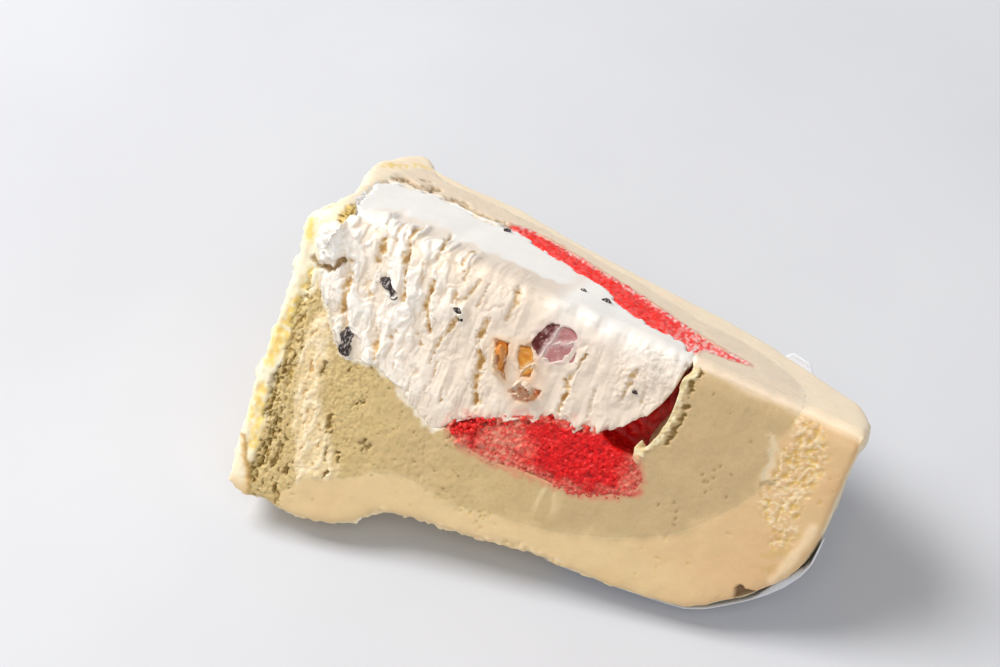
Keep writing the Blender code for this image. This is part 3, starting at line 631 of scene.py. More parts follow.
def pistachio_look(flat, upperness):
    """Outward height and colour of the pistachio where it is cut."""
    frontness = 1 - upperness
    height, down = flat[:, 0], flat[:, 1]
    coarse = ramp(height - 0.28 * (down - 40) + 2.5 * noise(flat, 5.0, 1), 15.0, 7.5) * frontness
    middle = ramp(height + 4.0 * noise(flat, 6.0, 2), 62.0, 34.0) * frontness
    smear_in = shape_depth(flat, SMEAR_SHAPE) + 1.3 * noise(flat, (2.0, 6.0, 4.0), 3)
    smear = ramp(smear_in, -0.8, 1.4) * frontness
    bent = flat.copy()
    bent[:, 0] += 0.5 * noise(flat, 2.2, 4) + 1.2 * noise(flat, 7.0, 40) - 0.12 * down

    left = ramp(height + 4.0 * noise(flat, 5.0, 13), 34.0, 16.0) * frontness
    grain = noise(flat, 0.62, 15) * left
    specks = ramp(noise(bent, (0.45, 0.7, 1.0), 5), 0.30, 0.75) * (0.25 + 0.75 * middle)
    nicks = ramp(flaws(bent, (0.8, 1.4, 1.0), 6), 0.80, 1.05) * middle
    holes = ramp(flaws(bent, (0.75, 2.1, 1.0), 7), 0.50, 0.72) * coarse
    nicks, holes = nicks * (1 - 0.85 * smear), holes * (1 - 0.9 * smear)
    streaks = ramp(ridged(bent, (2.1, 7.0, 4.0), 9), 0.45, 0.92) * smear
    tan_holes = ramp(flaws(bent, (0.9, 2.8, 1.0), 10), 0.58, 0.85) * smear
    pin = ramp(flaws(flat, (0.8, 1.0, 1.0), 11), 1.15, 1.3) * (1 - middle) * frontness
    pin = np.maximum(pin, pin_holes(flat) * frontness)
    broken = ramp(noise(flat, 0.9, 18), -0.55, 0.0)
    cracks = strokes(flat, DEEP_CRACKS, 12, 0.55, 1.1, 0.3) * broken * frontness
    flap, flap_cracks, drag = flap_marks(flat, broken, frontness)

    out = 0.13 * layered(flat, 8.0, 3, 21) + 0.05 * layered(flat, 0.9, 2, 22) * (1 - 0.6 * smear)
    out += 0.09 * layered(flat, 0.8, 2, 24) * middle
    out -= 0.13 * specks + 0.32 * nicks + 0.45 * holes + 0.25 * pin + 0.7 * cracks
    out -= 0.8 * flap_cracks + 0.35 * tan_holes - 0.12 * grain
    out += smear * (0.1 + 0.2 * layered(bent, (1.9, 5.0, 4.0), 3, 23)) + 0.1 * streaks
    out += flap * (0.2 + 0.24 * layered(flat, 1.3, 3, 27, 0.6)) + 0.04 * drag
    out += 0.10 * layered(flat, 2.6, 3, 28, 0.6) * middle

    # dark olive in the nicks, holes, cracks and pin holes: partly the pistachio's own dark pits, partly
    # painted shade in them
    dark = np.clip(0.7 * nicks + 0.9 * holes + cracks + flap_cracks + 0.8 * pin, 0, 1)
    flap_tone = mix(FLAP_DARK, FLAP_PALE, 0.5 + noise(flat, 1.3, 29))
    color = tinted(mix(PISTACHIO, PISTACHIO_SHADE, 0.5 + 0.5 * layered(flat, 8.0, 3, 25)), [
        (PISTACHIO_LEFT, 0.7 * left),
        (PISTACHIO_RIGHT, ramp(height, 50.0, 70.0) * 0.8),
        (PISTACHIO_PALE, 0.35 * ramp(layered(flat, 1.2, 2, 26), 0.2, 0.9) * middle),
        # painted light on the upper cut
        (PISTACHIO_TOP_PAINTED_LIGHT, upperness),
        (SPECK, 0.55 * specks * frontness),
        (GRAIN_DARK, 0.4 * ramp(-grain, 0.1, 0.8)),
        (GRAIN_PALE, 0.4 * ramp(grain, 0.2, 0.8)),
        (OLIVE, 0.8 * dark),
        (SMEAR, 0.95 * smear * (1 - dark)),
        (STREAK, 0.6 * streaks),
        (HOLE_TAN, 0.65 * tan_holes),
        (flap_tone, 0.8 * flap * (1 - flap_cracks)),
        (DRAG_PALE, 0.7 * drag),
    ])
    return out, color


def flap_marks(flat, broken, frontness):
    """Where the torn flap beside the opening lies, its cracks, and the drag marks below it."""
    cracks = strokes(flat, FLAP_CRACKS, 14, 0.45, 1.2, 0.3) * (0.15 + 0.85 * broken)
    flap = near_line(flat, FLAP_LINE) + 0.5 * layered(flat, 1.5, 3, 16, 0.7)
    tooth = near_line(flat, TOOTH_LINE) + 0.2 * noise(flat, 0.8, 17)
    flap = np.maximum(ramp(flap, 1.0, 0.45), ramp(tooth, 1.1, 0.7))
    drag = ramp(near_line(flat, DRAG_LINE), 4.2, 1.5) * frontness
    drag = drag * ramp(ridged(flat, (1.3, 16.0, 4.0), 20), 0.5, 0.9)
    return flap * frontness, cracks * frontness, drag


def pin_holes(flat):
    """How much each point lies in one of the pin-sized holes of the smooth part."""
    away = np.full(len(flat), 9.0)
    for height, distance in PIN_HOLES:
        away = np.minimum(away, np.hypot(flat[:, 0] - height, (flat[:, 1] - distance) * 0.75))
    return 0.8 * ramp(away, 0.38, 0.12)


def wall_look(points, away):
    """Outward height and colour of cream and pistachio together, blended at their border."""
    flat = unrolled(points)
    upperness = upper_share(cut_frame(points)[1])
    frontness = 1 - upperness
    side = away["pistachio_cream"] - away["vanilla_cream"]
    side = side + 1.1 * noise(flat, 3.5, 30) + 0.5 * noise(flat, 1.2, 31)
    side = side - 5.0 * ramp(flat[:, 0] + noise(flat, 2.0, 34), 11.5, 8.5) * ramp(flat[:, 1], 55, 58)
    blur = 0.7 + 1.1 * ramp(flat[:, 0], 20.0, 60.0)
    cream_share = ramp(side / blur, -1.0, 1.0)
    cream_out, cream_color = cream_look(flat, upperness)
    inner_out, inner_color = pistachio_look(flat, upperness)
    out = inner_out * (1 - cream_share) + cream_out * cream_share
    stain = ramp(away["red_sponge"] + 0.8 * noise(flat, 1.3, 32), 1.5, 0.2)
    tip = ramp(shape_depth(bent_by(flat, 39, 0.5), SPONGE_TIP), -0.6, 0.5) * frontness
    smudge = ramp(away["white_filling"] + 1.1 * noise(flat, 2.2, 33), 0.9, 0.1)
    dents, tints_and_shade = rim_marks(flat, upperness)
    worn = ramp(np.maximum(points[:, 1], points[:, 2]), 4.5, 0.6)
    out = out - dents - worn * (0.75 + 0.3 * layered(flat, (7.0, 20.0, 9.0), 2, 38))
    rounded, tip_tone = rim_tip(flat)
    out = out * (1 - 0.8 * rounded)
    # painted light: this mask draws the front near the edge at the right end towards the lighter top
    # tones, so it looks as lit as the top
    wet = ramp(flat[:, 1] + 0.8 * noise(flat, (5.0, 2.0, 2.0), 45), 2.6, 0.2) * frontness
    color = tinted(mix(inner_color, cream_color, cream_share), [
        (SYRUP_STAIN, 0.6 * stain),
        (SYRUP_TIP, 0.85 * tip * ramp(noise(flat, 0.8, 34), -0.7, 0.2)),
        (mix(SMUDGE_FRONT, SMUDGE_TOP, upperness), 0.7 * smudge),
        *tints_and_shade,
        (SMUDGE_PALE, 0.6 * strokes(flat, PALE_SMUDGE, 65, 0.6) * frontness),
        (SMUDGE_GREY, 0.6 * strokes(flat, GREY_SMUDGE, 66, 0.6) * frontness),
        (tip_tone, rounded * frontness),
        (mix(PISTACHIO_TOP_PAINTED_LIGHT, CREAM_TOP_PAINTED_LIGHT, cream_share), 0.5 * wet * ramp(flat[:, 0], 76.0, 84.0)),
    ])
    return out, color


def rim_tip(flat):
    """The smooth rounded tip of the rim: how much each point lies in it, and its colour."""
    inside = shape_depth(bent_by(flat, 41, 0.4), TIP_SHAPE)
    ochre = ramp(inside + 0.5 * noise(flat, 1.2, 42), 2.2, 0.6)
    tone = tinted(mix(TIP_PALE, TIP_OCHRE, 0.85 * ochre), [
        (TIP_LOW, 0.8 * ramp(flat[:, 1], 59.0, 62.0)),
        (TIP_BORDER, 0.7 * ramp(inside + 0.4 * noise(flat, 1.0, 43), 1.0, 0.2))])
    return ramp(inside, -0.3, 0.5), tone


def rim_marks(flat, upperness):
    """Depth and colours of the porous seams near the rim and beside the filling, with painted shade in
    the notch, grooves, hollows and pits and a painted shadow under the lump.
    """
    frontness = 1 - upperness
    pitted = ramp(flaws(flat, (0.75, 1.2, 1.0), 35), -0.15, 0.35)
    sparse = ramp(flaws(flat, (0.9, 1.3, 1.0), 36), 0.25, 0.6)
    groove = strokes(flat, RIM_GROOVES, 49, 0.5, 1.5, 0.5) * frontness
    hollow = strokes(flat, RIM_HOLLOWS, 51, 0.6, 1.5, 0.5) * frontness
    seam = ramp(near_line(flat, RIM_SEAM) + 0.8 * noise(flat, 1.8, 37), 2.2, 0.6) * frontness
    hollow = np.maximum(hollow * (0.4 + 0.6 * pitted), seam * sparse)
    notch = ramp(shape_depth(bent_by(flat, 57, 0.25), NOTCH_SHAPE), -0.1, 0.35) * frontness
    top_pits = strokes(flat, TOP_PITS, 17, 0.7, 1.4, 0.4) * (0.35 + 0.65 * pitted) * upperness
    porous = ramp(shape_depth(bent_by(flat, 19, 0.5), POROUS_SHAPE), -0.3, 0.6)
    undercut = strokes(flat, UNDERCUTS, 61, 0.4) * frontness
    dents = (0.3 * groove + 0.8 * groove * pitted + 0.5 * hollow + 2.0 * notch
             + 1.1 * top_pits + porous * (0.15 + 0.6 * pitted) + 0.6 * undercut)
    tints_and_shade = [
        # the dark olive in the hollows, grooves and pits is partly their own tone and partly painted
        # shade; the notch's brown is painted shade
        (srgb(236, 214, 160), 0.5 * seam * (1 - pitted)), (srgb(176, 142, 64), 0.8 * hollow),
        (srgb(176, 148, 84), 0.5 * groove), (srgb(146, 114, 40), 0.9 * groove * pitted),
        (srgb(112, 84, 58), 0.85 * notch), (srgb(146, 108, 40), top_pits),
        (srgb(226, 196, 122), porous), (srgb(152, 118, 44), 0.9 * porous * pitted),
        # painted shadow under the lump
        (UNDERCUT_SHADOW, 0.8 * undercut),
    ]
    return dents, tints_and_shade


def make_wall(name, own, material, finer=()):
    """Build one of the two wall layers with the shared look on its cuts."""
    points, triangles = grown_layer(own)
    if own == "pistachio_cream":
        extra = beads(TIP_BEADS, *TIP_DEPTHS) + beads(TOOTH_BEADS, *TOOTH_DEPTHS)
        points, triangles = joined([(points, triangles)] + extra)
    piece = remeshed(name, points, triangles, WALL_VOXELS[own], [near_cuts(FINE_DEPTH), *finer])
    set_points(piece, flushed(points_of(piece)))
    if own == "vanilla_cream":
        melt_edges(piece, own)
    points = points_of(piece)
    normals = normals_of(piece)
    depth, outward = cut_frame(points)
    keep = 1 - ramp(depth, *CUT_SKIN)
    away = layer_distances(points, keep > 0.01)
    out, color = wall_look(points, away)
    out = out - 0.06 * ramp(away[own], 0.15, 0.5)
    moved = points + outward * (keep * out)[:, None]
    if own == "pistachio_cream":
        lip = ramp(near_line(points, FLAP_LINE[1:]), 2.4, 0.6) * ramp(points[:, 2], 2.0, 0.6)
        moved[:, 0] -= FLAP_REACH * lip
    if own == "vanilla_cream":
        moved += normals * ((1 - keep) * skin_height(points))[:, None]
        color = mix(skin_color(points), color, keep)
    set_points(piece, keep_above_ground(shape_corner(moved)))
    paint(piece, color)
    settle(piece, [own], material)


def front_face(spots):
    """A test for spots near the front cut, below its edge."""
    return (spots[:, 2] < 0.9) & (spots[:, 1] > 2.0)


def coarse_corner(spots):
    """A test for the coarsely pitted part of the pistachio's front and for its flap."""
    corner = (spots[:, 0] < 20.0) & (spots[:, 1] > 14.0)
    flap = (spots[:, 2] < 0.9) & (near_line(spots, FLAP_LINE) < 3.0)
    return front_face(spots) & corner | flap


def beads(places, depth, half_depth):
    """Overlapping flattened balls that thicken a thin place; a bead is (height, distance, radius)."""
    shapes = []
    unit, faces = ball(3)
    for height, distance, radius in places:
        points = unit * (radius, radius, half_depth) + (height, distance, depth)
        points[:, 2] = np.maximum(points[:, 2], 0.0)
        shapes.append((points, np.array(faces)))
    return shapes


def skin_height(points):
    """Outward height of the uncut outside: soft lumps, coarser at the rim and the lower edge."""
    rim = ramp(points[:, 0], 3.0, 0.5)
    near_front = ramp(points[:, 2], 3.5, 0.5) * ramp(points[:, 0], 84.0, 70.0)
    lumps = 0.30 * layered(points, 5.0, 4, 70) + rim * 0.35 * layered(points, 2.6, 3, 71)
    lumps = lumps - rim * 0.45 * ramp(flaws(points, 1.4, 76), 0.5, 0.9)
    return lumps + near_front * (0.6 * layered(points, (1.5, 1.9, 1.5), 3, 72) + 0.1)


def skin_color(points):
    """Colour of the uncut outside: cream with frosty, paler patches."""
    frost = ramp(layered(points, (5.0, 5.0, 5.0), 4, 74), 0.25, 0.9)
    by_cut = ramp(cut_distance(points) + 1.5 * noise(points, 4.0, 75), 9.0, 2.0)
    base = ramp(points[:, 0], 3.0, 0.5) * (1 - by_cut)
    return tinted(mix(SKIN_PALE, SKIN_DEEP, 0.5 + 0.6 * layered(points, 12.0, 3, 73)), [
        (SKIN_FROST, 0.7 * frost),
        (CREAM_RIM, 0.9 * ramp(points[:, 0], 5.0, 0.0) * by_cut),
        (BASE_TONE, 0.8 * base),
        (BASE_PIT, 0.6 * ramp(flaws(points, 1.4, 76), 0.5, 0.9) * base)])


def cut_distance(points):
    """Distance of each point behind the nearer of the two cut planes."""
    return np.maximum(np.minimum(points[:, 1], points[:, 2]), 0.0)


TIP_DEPTHS, TOOTH_DEPTHS = (4.0, 4.5), (1.4, 1.4)   # depth and half depth of the beads
TIP_BEADS = [(1.0, 7.0, 1.8), (0.3, 10.0, 1.9), (1.0, 12.6, 2.1), (2.2, 15.2, 2.4),
             (3.6, 18.2, 2.7), (5.4, 21.6, 2.8), (7.0, 25.0, 2.6), (0.3, 15.4, 1.8),
             (0.9, 18.4, 2.0), (1.8, 21.6, 2.2), (2.8, 25.0, 2.4)]
CORNER_BUMPS = [
    # (height, distance, depth), radius, push along the height axis
    ((-2.6, 6.0, 1.5), 3.6, -0.5), ((-1.0, 0.0, 6.0), 4.0, 0.9), ((1.0, 0.5, 14.0), 5.0, 0.7),
    ((-1.5, 13.0, 1.0), 3.0, 0.5), ((-3.5, 0.0, 46.0), 7.0, -0.6),
    ((113.5, 0.0, 9.0), 7.0, 0.9), ((113.5, 1.0, 0.0), 3.5, -0.9),
    ((0.6, 62.0, 1.5), 2.6, -0.8),
]


def shape_corner(points):
    """Steps and bulges of the rim's outline."""
    moved = points.copy()
    for middle, radius, push in CORNER_BUMPS:
        away = np.linalg.norm(points - np.array(middle), axis=1) / radius
        moved[:, 0] += push * np.exp(-away ** 2)
    return moved


# ---- Sponge ----
SPONGE = srgb(220, 4, 8)
# the darker red is painted shade in the crumb's holes and hollows and under the filling's hem, and is
# darker near the pistachio at the right end
SPONGE_DARK = srgb(150, 2, 5)
SPONGE_FROST = srgb(222, 140, 116)
SPONGE_FADE = srgb(210, 156, 120)
# the bright red is a painted highlight on the raised crumbs; the pale speck tone is a painted highlight
# on raised grains
SPONGE_BRIGHT, SPONGE_SPECK_HIGHLIGHT = srgb(238, 30, 26), srgb(244, 150, 132)
SPONGE_DEEP, SPONGE_LIT = srgb(186, 3, 5), srgb(244, 48, 32)
SPONGE_TOP, SPONGE_TOP_FROST = srgb(250, 44, 34), srgb(255, 206, 198)
SPONGE_VOXEL = 0.5
GRAIN_TURN = np.array(Matrix.Rotation(0.6, 3, (1, 0.7, 0.4)))


def make_sponge():
    """Crumb soaked in red syrup, frosted with pale cream along its edges."""
    points, triangles = grown_layer("red_sponge")
    piece = remeshed("soaked_sponge", points, triangles, SPONGE_VOXEL,
                     [near_cuts(FINE_DEPTH), front_face])
    points = flushed(points_of(piece))
    normals = normals_of(piece)
    depth, outward = cut_frame(points)
    keep = 1 - ramp(depth, *CUT_SKIN)
    recess = ramp(depth, 1.0, 3.0)
    upperness = upper_share(outward)
    frontness = 1 - upperness
    away = layer_distances(points, (keep > 0.01))
    out, crumb, holes, gaps = sponge_relief(points, away, frontness)
    moved = points + outward * (keep * out)[:, None] + normals * (recess * 1.8 * out)[:, None]
    set_points(piece, keep_above_ground(moved))

    color = sponge_front_color(points, away, (crumb, holes, gaps), keep, frontness)
    color = mix(color, sponge_top_color(points, away), upperness * keep)
    # painted light: the recess behind the cut is painted a brighter red for light reaching into the
    # cavity, lighter still on the raised crumbs
    recess_painted_light = mix(SPONGE_DEEP, SPONGE_LIT, ramp(crumb, 0.0, 1.0))
    paint(piece, mix(color, recess_painted_light, 0.9 * recess * frontness))
    settle(piece, ["red_sponge"], ice_material(
        "red_crumb", 0.5, 0.5, 0.3, (1.0, 0.10, 0.06), mottle=0.12))


def sponge_relief(points, away, frontness):
    """Outward height of the crumb, its grain, its holes and the gaps under the filling's hem."""
    flat = unrolled(points)
    turned_points = points @ GRAIN_TURN
    crumb = layered(turned_points, 1.0, 3, 1, 0.65)
    holes = ramp(flaws(turned_points, 1.5, 4), 0.55, 0.95)
    gaps = ramp(near_line(flat, HEM_LINE), 1.6, 0.5) * ramp(noise(flat, (1.8, 3.0, 1.0), 14), 0.0, 0.4)
    gaps = gaps * frontness
    chunky = ramp(flat[:, 0], 47.0, 41.0) * frontness
    holes = holes * (1 - 0.6 * ramp(flat[:, 0], 58.0, 64.0))
    out = 0.26 * crumb - 0.42 * holes + 0.15 * layered(points, 4.0, 2, 5) - 0.05
    out += 0.08 * noise(turned_points, 0.5, 13) - 0.8 * gaps
    out += chunky * 0.5 * layered(points, 2.4, 2, 6)
    out -= 0.12 * ramp(away["red_sponge"], 0.15, 0.6)
    return out, crumb, holes, gaps


def sponge_frost(flat, away):
    """How much pale cream lies on the sponge: at its borders and its two ends."""
    frost = ramp(away["pistachio_cream"] + 1.8 * noise(flat, 2.6, 7), 3.0, 0.2)
    frost = frost * (1 - 0.4 * ramp(flat[:, 0], 54.0, 60.0))
    left = ramp(flat[:, 0] + 3.0 * noise(flat, 4.0, 8), 56.5, 48.5) * ramp(flat[:, 0], 41.0, 45.0)
    upper = ramp(away["white_filling"] + 1.1 * noise(flat, 1.6, 9), 1.3, 0.1)
    right = ramp(flat[:, 0] + 2.0 * noise(flat, 3.0, 15), 69.0, 73.5)
    return np.maximum.reduce([frost, left, 0.7 * upper, 0.75 * right])


def sponge_front_color(points, away, relief, keep, frontness):
    """Colour of the sponge on the front cut, with painted highlights on its raised crumbs and grains and
    painted shade in its holes and under the filling's hem.
    """
    crumb, holes, gaps = relief
    flat = unrolled(points)
    turned_points = points @ GRAIN_TURN
    frost = sponge_frost(flat, away)
    speck = ramp(layered(turned_points, 0.8, 2, 10), -0.45, 0.5)
    low = ramp(away["pistachio_cream"] + 1.2 * noise(flat, 2.0, 17), 4.5, 1.0) * frontness
    pits = 0.6 * holes * (1 - 0.5 * ramp(flat[:, 0], 58.0, 64.0)) + 0.8 * ramp(-crumb, 0.3, 1.1)
    grain_highlights = ramp(noise(turned_points, 0.5, 12) + 0.4 * crumb, 0.35, 0.8)
    fade = ramp(away["pistachio_cream"] + 0.6 * noise(flat, 1.2, 18), 1.4, 0.0)
    # painted highlight: raised crumbs are painted brighter
    return tinted(mix(SPONGE, SPONGE_BRIGHT, 0.6 * ramp(crumb, 0.0, 0.8)), [
        (SPONGE_DARK, 0.4 * low * ramp(flat[:, 0], 54.0, 58.0)),
        # painted shade in the holes, the low crumb and the gaps under the hem
        (SPONGE_DARK, np.clip(pits + 0.8 * gaps, 0, 1)),
        (SPONGE_FROST, frost * (0.35 + 0.65 * speck) * frontness * (1 - gaps)),
        # painted highlights on the raised grains, mostly where the pale frost lies
        (SPONGE_SPECK_HIGHLIGHT, 0.45 * grain_highlights * (0.15 + 0.85 * frost) * keep),
        (SPONGE_FADE, 0.7 * fade * frontness * ramp(flat[:, 0], 62.0, 54.0)),
    ])


def sponge_top_color(points, away):
    """Colour of the sponge on the upper cut, frosted towards the rim side and its ends."""
    flat = unrolled(points)
    rim_side = ramp(away["pistachio_cream"] + 1.0 * noise(flat, (5.0, 1.5, 1.0), 11), 2.6, 0.8)
    ends = np.maximum(ramp(flat[:, 0], 34.0, 24.0), ramp(flat[:, 0], 64.0, 74.0))
    bits = ramp(layered(unrolled(points, 3.0), 0.9, 2, 16), -0.3, 0.4)
    frost = np.clip(0.8 * rim_side + 0.5 * ends, 0, 1) * (0.15 + 0.85 * bits)
    return mix(SPONGE_TOP, SPONGE_TOP_FROST, frost + 0.12 * bits)


# ---- White filling ----
FILLING = srgb(245, 232, 216)
FILLING_RIGHT = srgb(230, 213, 194)
# the lump's own white, and a painted highlight on the raised crests of the torn front
FILLING_WHITE_AND_HIGHLIGHT = srgb(252, 246, 238)
FILLING_TOP = srgb(244, 239, 232)
# painted shade: the upper cut of the filling is painted a little darker, to even out the stronger light
# on it
TOP_PAINTED_SHADE = 0.02                  # the torn strip on the upper cut is that much darker
# painted shade: the creases and furrows of the torn front are painted a warmer, darker tone, darkest at
# the furrow floors
FILLING_CREASE_SHADE = srgb(218, 184, 128)
FILLING_FURROW_SHADE = srgb(184, 132, 60)
FILLING_SHADE, LUMP_SHADOW = srgb(238, 221, 200), srgb(150, 112, 46)
FILLING_STAIN, FILLING_FLECK = srgb(240, 150, 134), srgb(240, 170, 140)
FRUIT_VEIL = srgb(228, 196, 170)
FRUIT_VEIL_LINE = [(44.5, 12.5), (48.5, 15.5), (47.5, 19.5)]
FILLING_VOXEL = 0.85
PLUG_GROWTH = 1.22                  # the filling is closed behind the fruit by that much more
TORN_DEPTH = 2.2                    # the finest mesh reaches this far behind the front,
TORN_STRIP = (14.0, 49.0)           # and on the upper cut this far back and up the axis
TOP_STRETCH = 4.8                   # the tears are this much longer on the upper cut
FURROW_NARROWING = 0.78
# A furrow is (line, half width, depth, how much painted shade its floor gets)
FURROWS = [
    ([(16.1, -1.5), (17.4, 5.2), (19.5, 11.9)], 0.75, 0.8, 0.8),
    ([(23.9, 6.5), (24.1, 10.9), (24.9, 13.1), (26.4, 16.1)], 0.9, 1.1, 1.0),
    ([(24.6, 17.6), (25.7, 19.2)], 0.6, 0.6, 0.8),
    ([(30.8, 11.2), (29.6, 15.3), (28.6, 19.0), (28.7, 21.6)], 0.6, 0.8, 0.8),
    ([(36.2, 9.2), (35.9, 12.5), (36.5, 15.5)], 0.7, 0.9, 0.9),
    ([(36.5, 15.5), (37.8, 17.4), (38.4, 21.1), (39.8, 25.2)], 1.05, 1.2, 0.9),
    ([(39.5, 0.3), (40.1, 3.1), (39.6, 7.7)], 0.55, 0.6, 0.7),
    ([(56.2, 7.6), (55.6, 11.5), (54.8, 14.0), (55.6, 15.8), (55.2, 18.1), (55.4, 20.4)], 0.6, 1.0, 1.0),
    ([(66.2, 6.3), (65.9, 10.2), (65.5, 13.4)], 0.55, 0.8, 0.7),
    ([(11.8, 2.9), (12.2, 6.8)], 0.9, 0.8, 0.9),
    ([(7.0, 9.7), (8.3, 13.0), (8.0, 15.3), (9.0, 19.1)], 1.3, 0.9, 0.8),
    ([(16.4, 19.7), (17.8, 22.8), (18.3, 25.9)], 1.0, 0.9, 0.7),
    ([(32.9, 25.3), (33.4, 28.1)], 0.4, 0.5, 0.7),
    ([(30.0, 21.0), (30.3, 25.6), (28.9, 28.7)], 0.4, 0.4, 0.5),
    ([(11.2, 11.7), (13.5, 15.0)], 1.2, 0.6, 0.5),
    ([(20.2, 18.9), (19.9, 20.4)], 0.8, 0.6, 0.8),
    ([(40.6, 23.3), (40.5, 27.0)], 0.4, 0.6, 0.7),
    ([(20.9, -3.6), (22.4, -0.7), (22.9, 1.9)], 0.6, 0.6, 0.8),
    ([(27.3, -1.7), (27.6, 0.7)], 0.45, 0.4, 0.9),
    ([(29.0, 0.0), (29.0, 3.8)], 0.5, 0.4, 0.5),
    ([(32.2, 2.8), (30.8, 6.9), (29.7, 8.4)], 0.45, 0.5, 0.7),
    ([(28.3, 4.8), (28.6, 8.7)], 0.4, 0.4, 0.6),
    ([(13.4, -1.2), (14.0, 2.6)], 0.5, 0.5, 0.4), ([(10.3, 20.0), (11.0, 26.0)], 0.8, 0.6, 0.5),
    ([(20.6, 3.6), (21.4, 8.0)], 0.5, 0.5, 0.5), ([(22.0, 24.0), (22.6, 29.0)], 0.5, 0.4, 0.3),
    ([(34.0, 3.0), (33.4, 8.0)], 0.4, 0.4, 0.4), ([(27.0, 24.0), (26.4, 29.0)], 0.4, 0.4, 0.3),
    ([(69.2, 8.5), (69.5, 12.0)], 0.45, 0.5, 0.3), ([(60.5, 13.5), (60.9, 19.0)], 0.45, 0.4, 0.3),
]
UNDERCUTS = [([(-0.4, 11.9), (1.6, 13.0), (4.6, 12.2), (5.4, 9.8)], 0.6)]
LUMP_DEPTHS = (2.0, 2.4)            # depth and half depth of the beads in the lump
LUMP_BEADS = [(1.0, 6.0, 2.5), (0.2, 8.8, 2.2), (3.0, 8.2, 2.6), (2.2, 4.4, 2.0)]
LUMP_SHAPE = [(-2.0, 6.2), (0.6, 3.4), (3.4, 3.4), (5.0, 6.6), (4.2, 10.2), (1.6, 11.8), (-0.4, 10.4)]

CHERRY_SHAPE = [(45.4, 10.4), (46.3, 7.6), (47.7, 4.6), (49.7, 4.3), (52.4, 4.2), (53.6, 5.6),
                (53.1, 8.4), (52.2, 10.6), (50.3, 11.8), (48.6, 11.2), (48.2, 12.0), (46.8, 11.0)]
SLIVER_SHAPE = [(38.9, 12.2), (41.7, 11.6), (42.1, 13.4), (42.4, 16.3), (43.7, 18.8), (41.5, 17.3),
                (40.0, 14.4)]
PEEL_SHAPE = [(43.8, 11.3), (45.5, 10.2), (46.7, 11.9), (47.5, 13.2), (48.1, 16.6), (46.2, 16.9),
              (45.0, 14.6), (44.0, 13.0)]
LOWER_SHAPE = [(44.9, 20.3), (46.1, 19.1), (48.6, 18.6), (50.8, 17.8), (50.6, 19.4), (48.8, 21.3),
               (46.9, 21.8)]
FRUIT_SHAPES = {
    "candied_cherry": CHERRY_SHAPE, "candied_peel_small": SLIVER_SHAPE,
    "candied_peel_large": PEEL_SHAPE, "candied_peel_lower": LOWER_SHAPE,
}
# Body, dark parts and the cream smeared over it
FRUIT_TONES = {
    "candied_cherry": (srgb(186, 126, 122), srgb(92, 22, 10), srgb(226, 196, 192)),
    "candied_peel_small": (srgb(216, 136, 26), srgb(196, 110, 12), srgb(240, 200, 140)),
    "candied_peel_large": (srgb(222, 154, 56), srgb(204, 124, 30), srgb(240, 204, 150)),
    "candied_peel_lower": (srgb(216, 148, 92), srgb(196, 104, 48), srgb(244, 214, 184)),
}
CREAM_VEILS = [
    ([(50.2, 3.0), (49.5, 6.2), (48.9, 8.8), (48.0, 12.0)], 0.3),
    ([(49.5, 8.3), (51.5, 7.6), (53.8, 5.9)], 0.26), ([(45.0, 18.5), (46.3, 15.2), (48.4, 12.4)], 0.3),
    ([(45.8, 20.8), (48.4, 19.6)], 0.2),
]


def furrow_marks(flat):
    """Depth of the deep furrows and how much painted shade their floors get."""
    wander = 0.45 * noise(flat, (2.0, 3.0, 2.0), 21) + 0.45 * layered(flat, 1.1, 3, 22, 0.6)
    width = 1 + 0.55 * noise(flat, (3.0, 2.6, 3.0), 18)
    patchy = ramp(layered(flat, 1.6, 2, 19), -0.6, 0.5)
    depth, furrow_shade = np.zeros(len(flat)), np.zeros(len(flat))
    for line, half_width, deep, tone in FURROWS:
        away = near_line(flat, line) + wander * min(1.0, 0.4 + half_width)
        away = away / (FURROW_NARROWING * half_width * width)
        depth = np.maximum(depth, 0.9 * deep * ramp(away, 1.6, 0.0) * (0.5 + 0.5 * patchy))
        furrow_shade = np.maximum(furrow_shade, tone * ramp(away, 1.3, 0.1) * (0.35 + 0.65 * patchy))
    return depth, furrow_shade


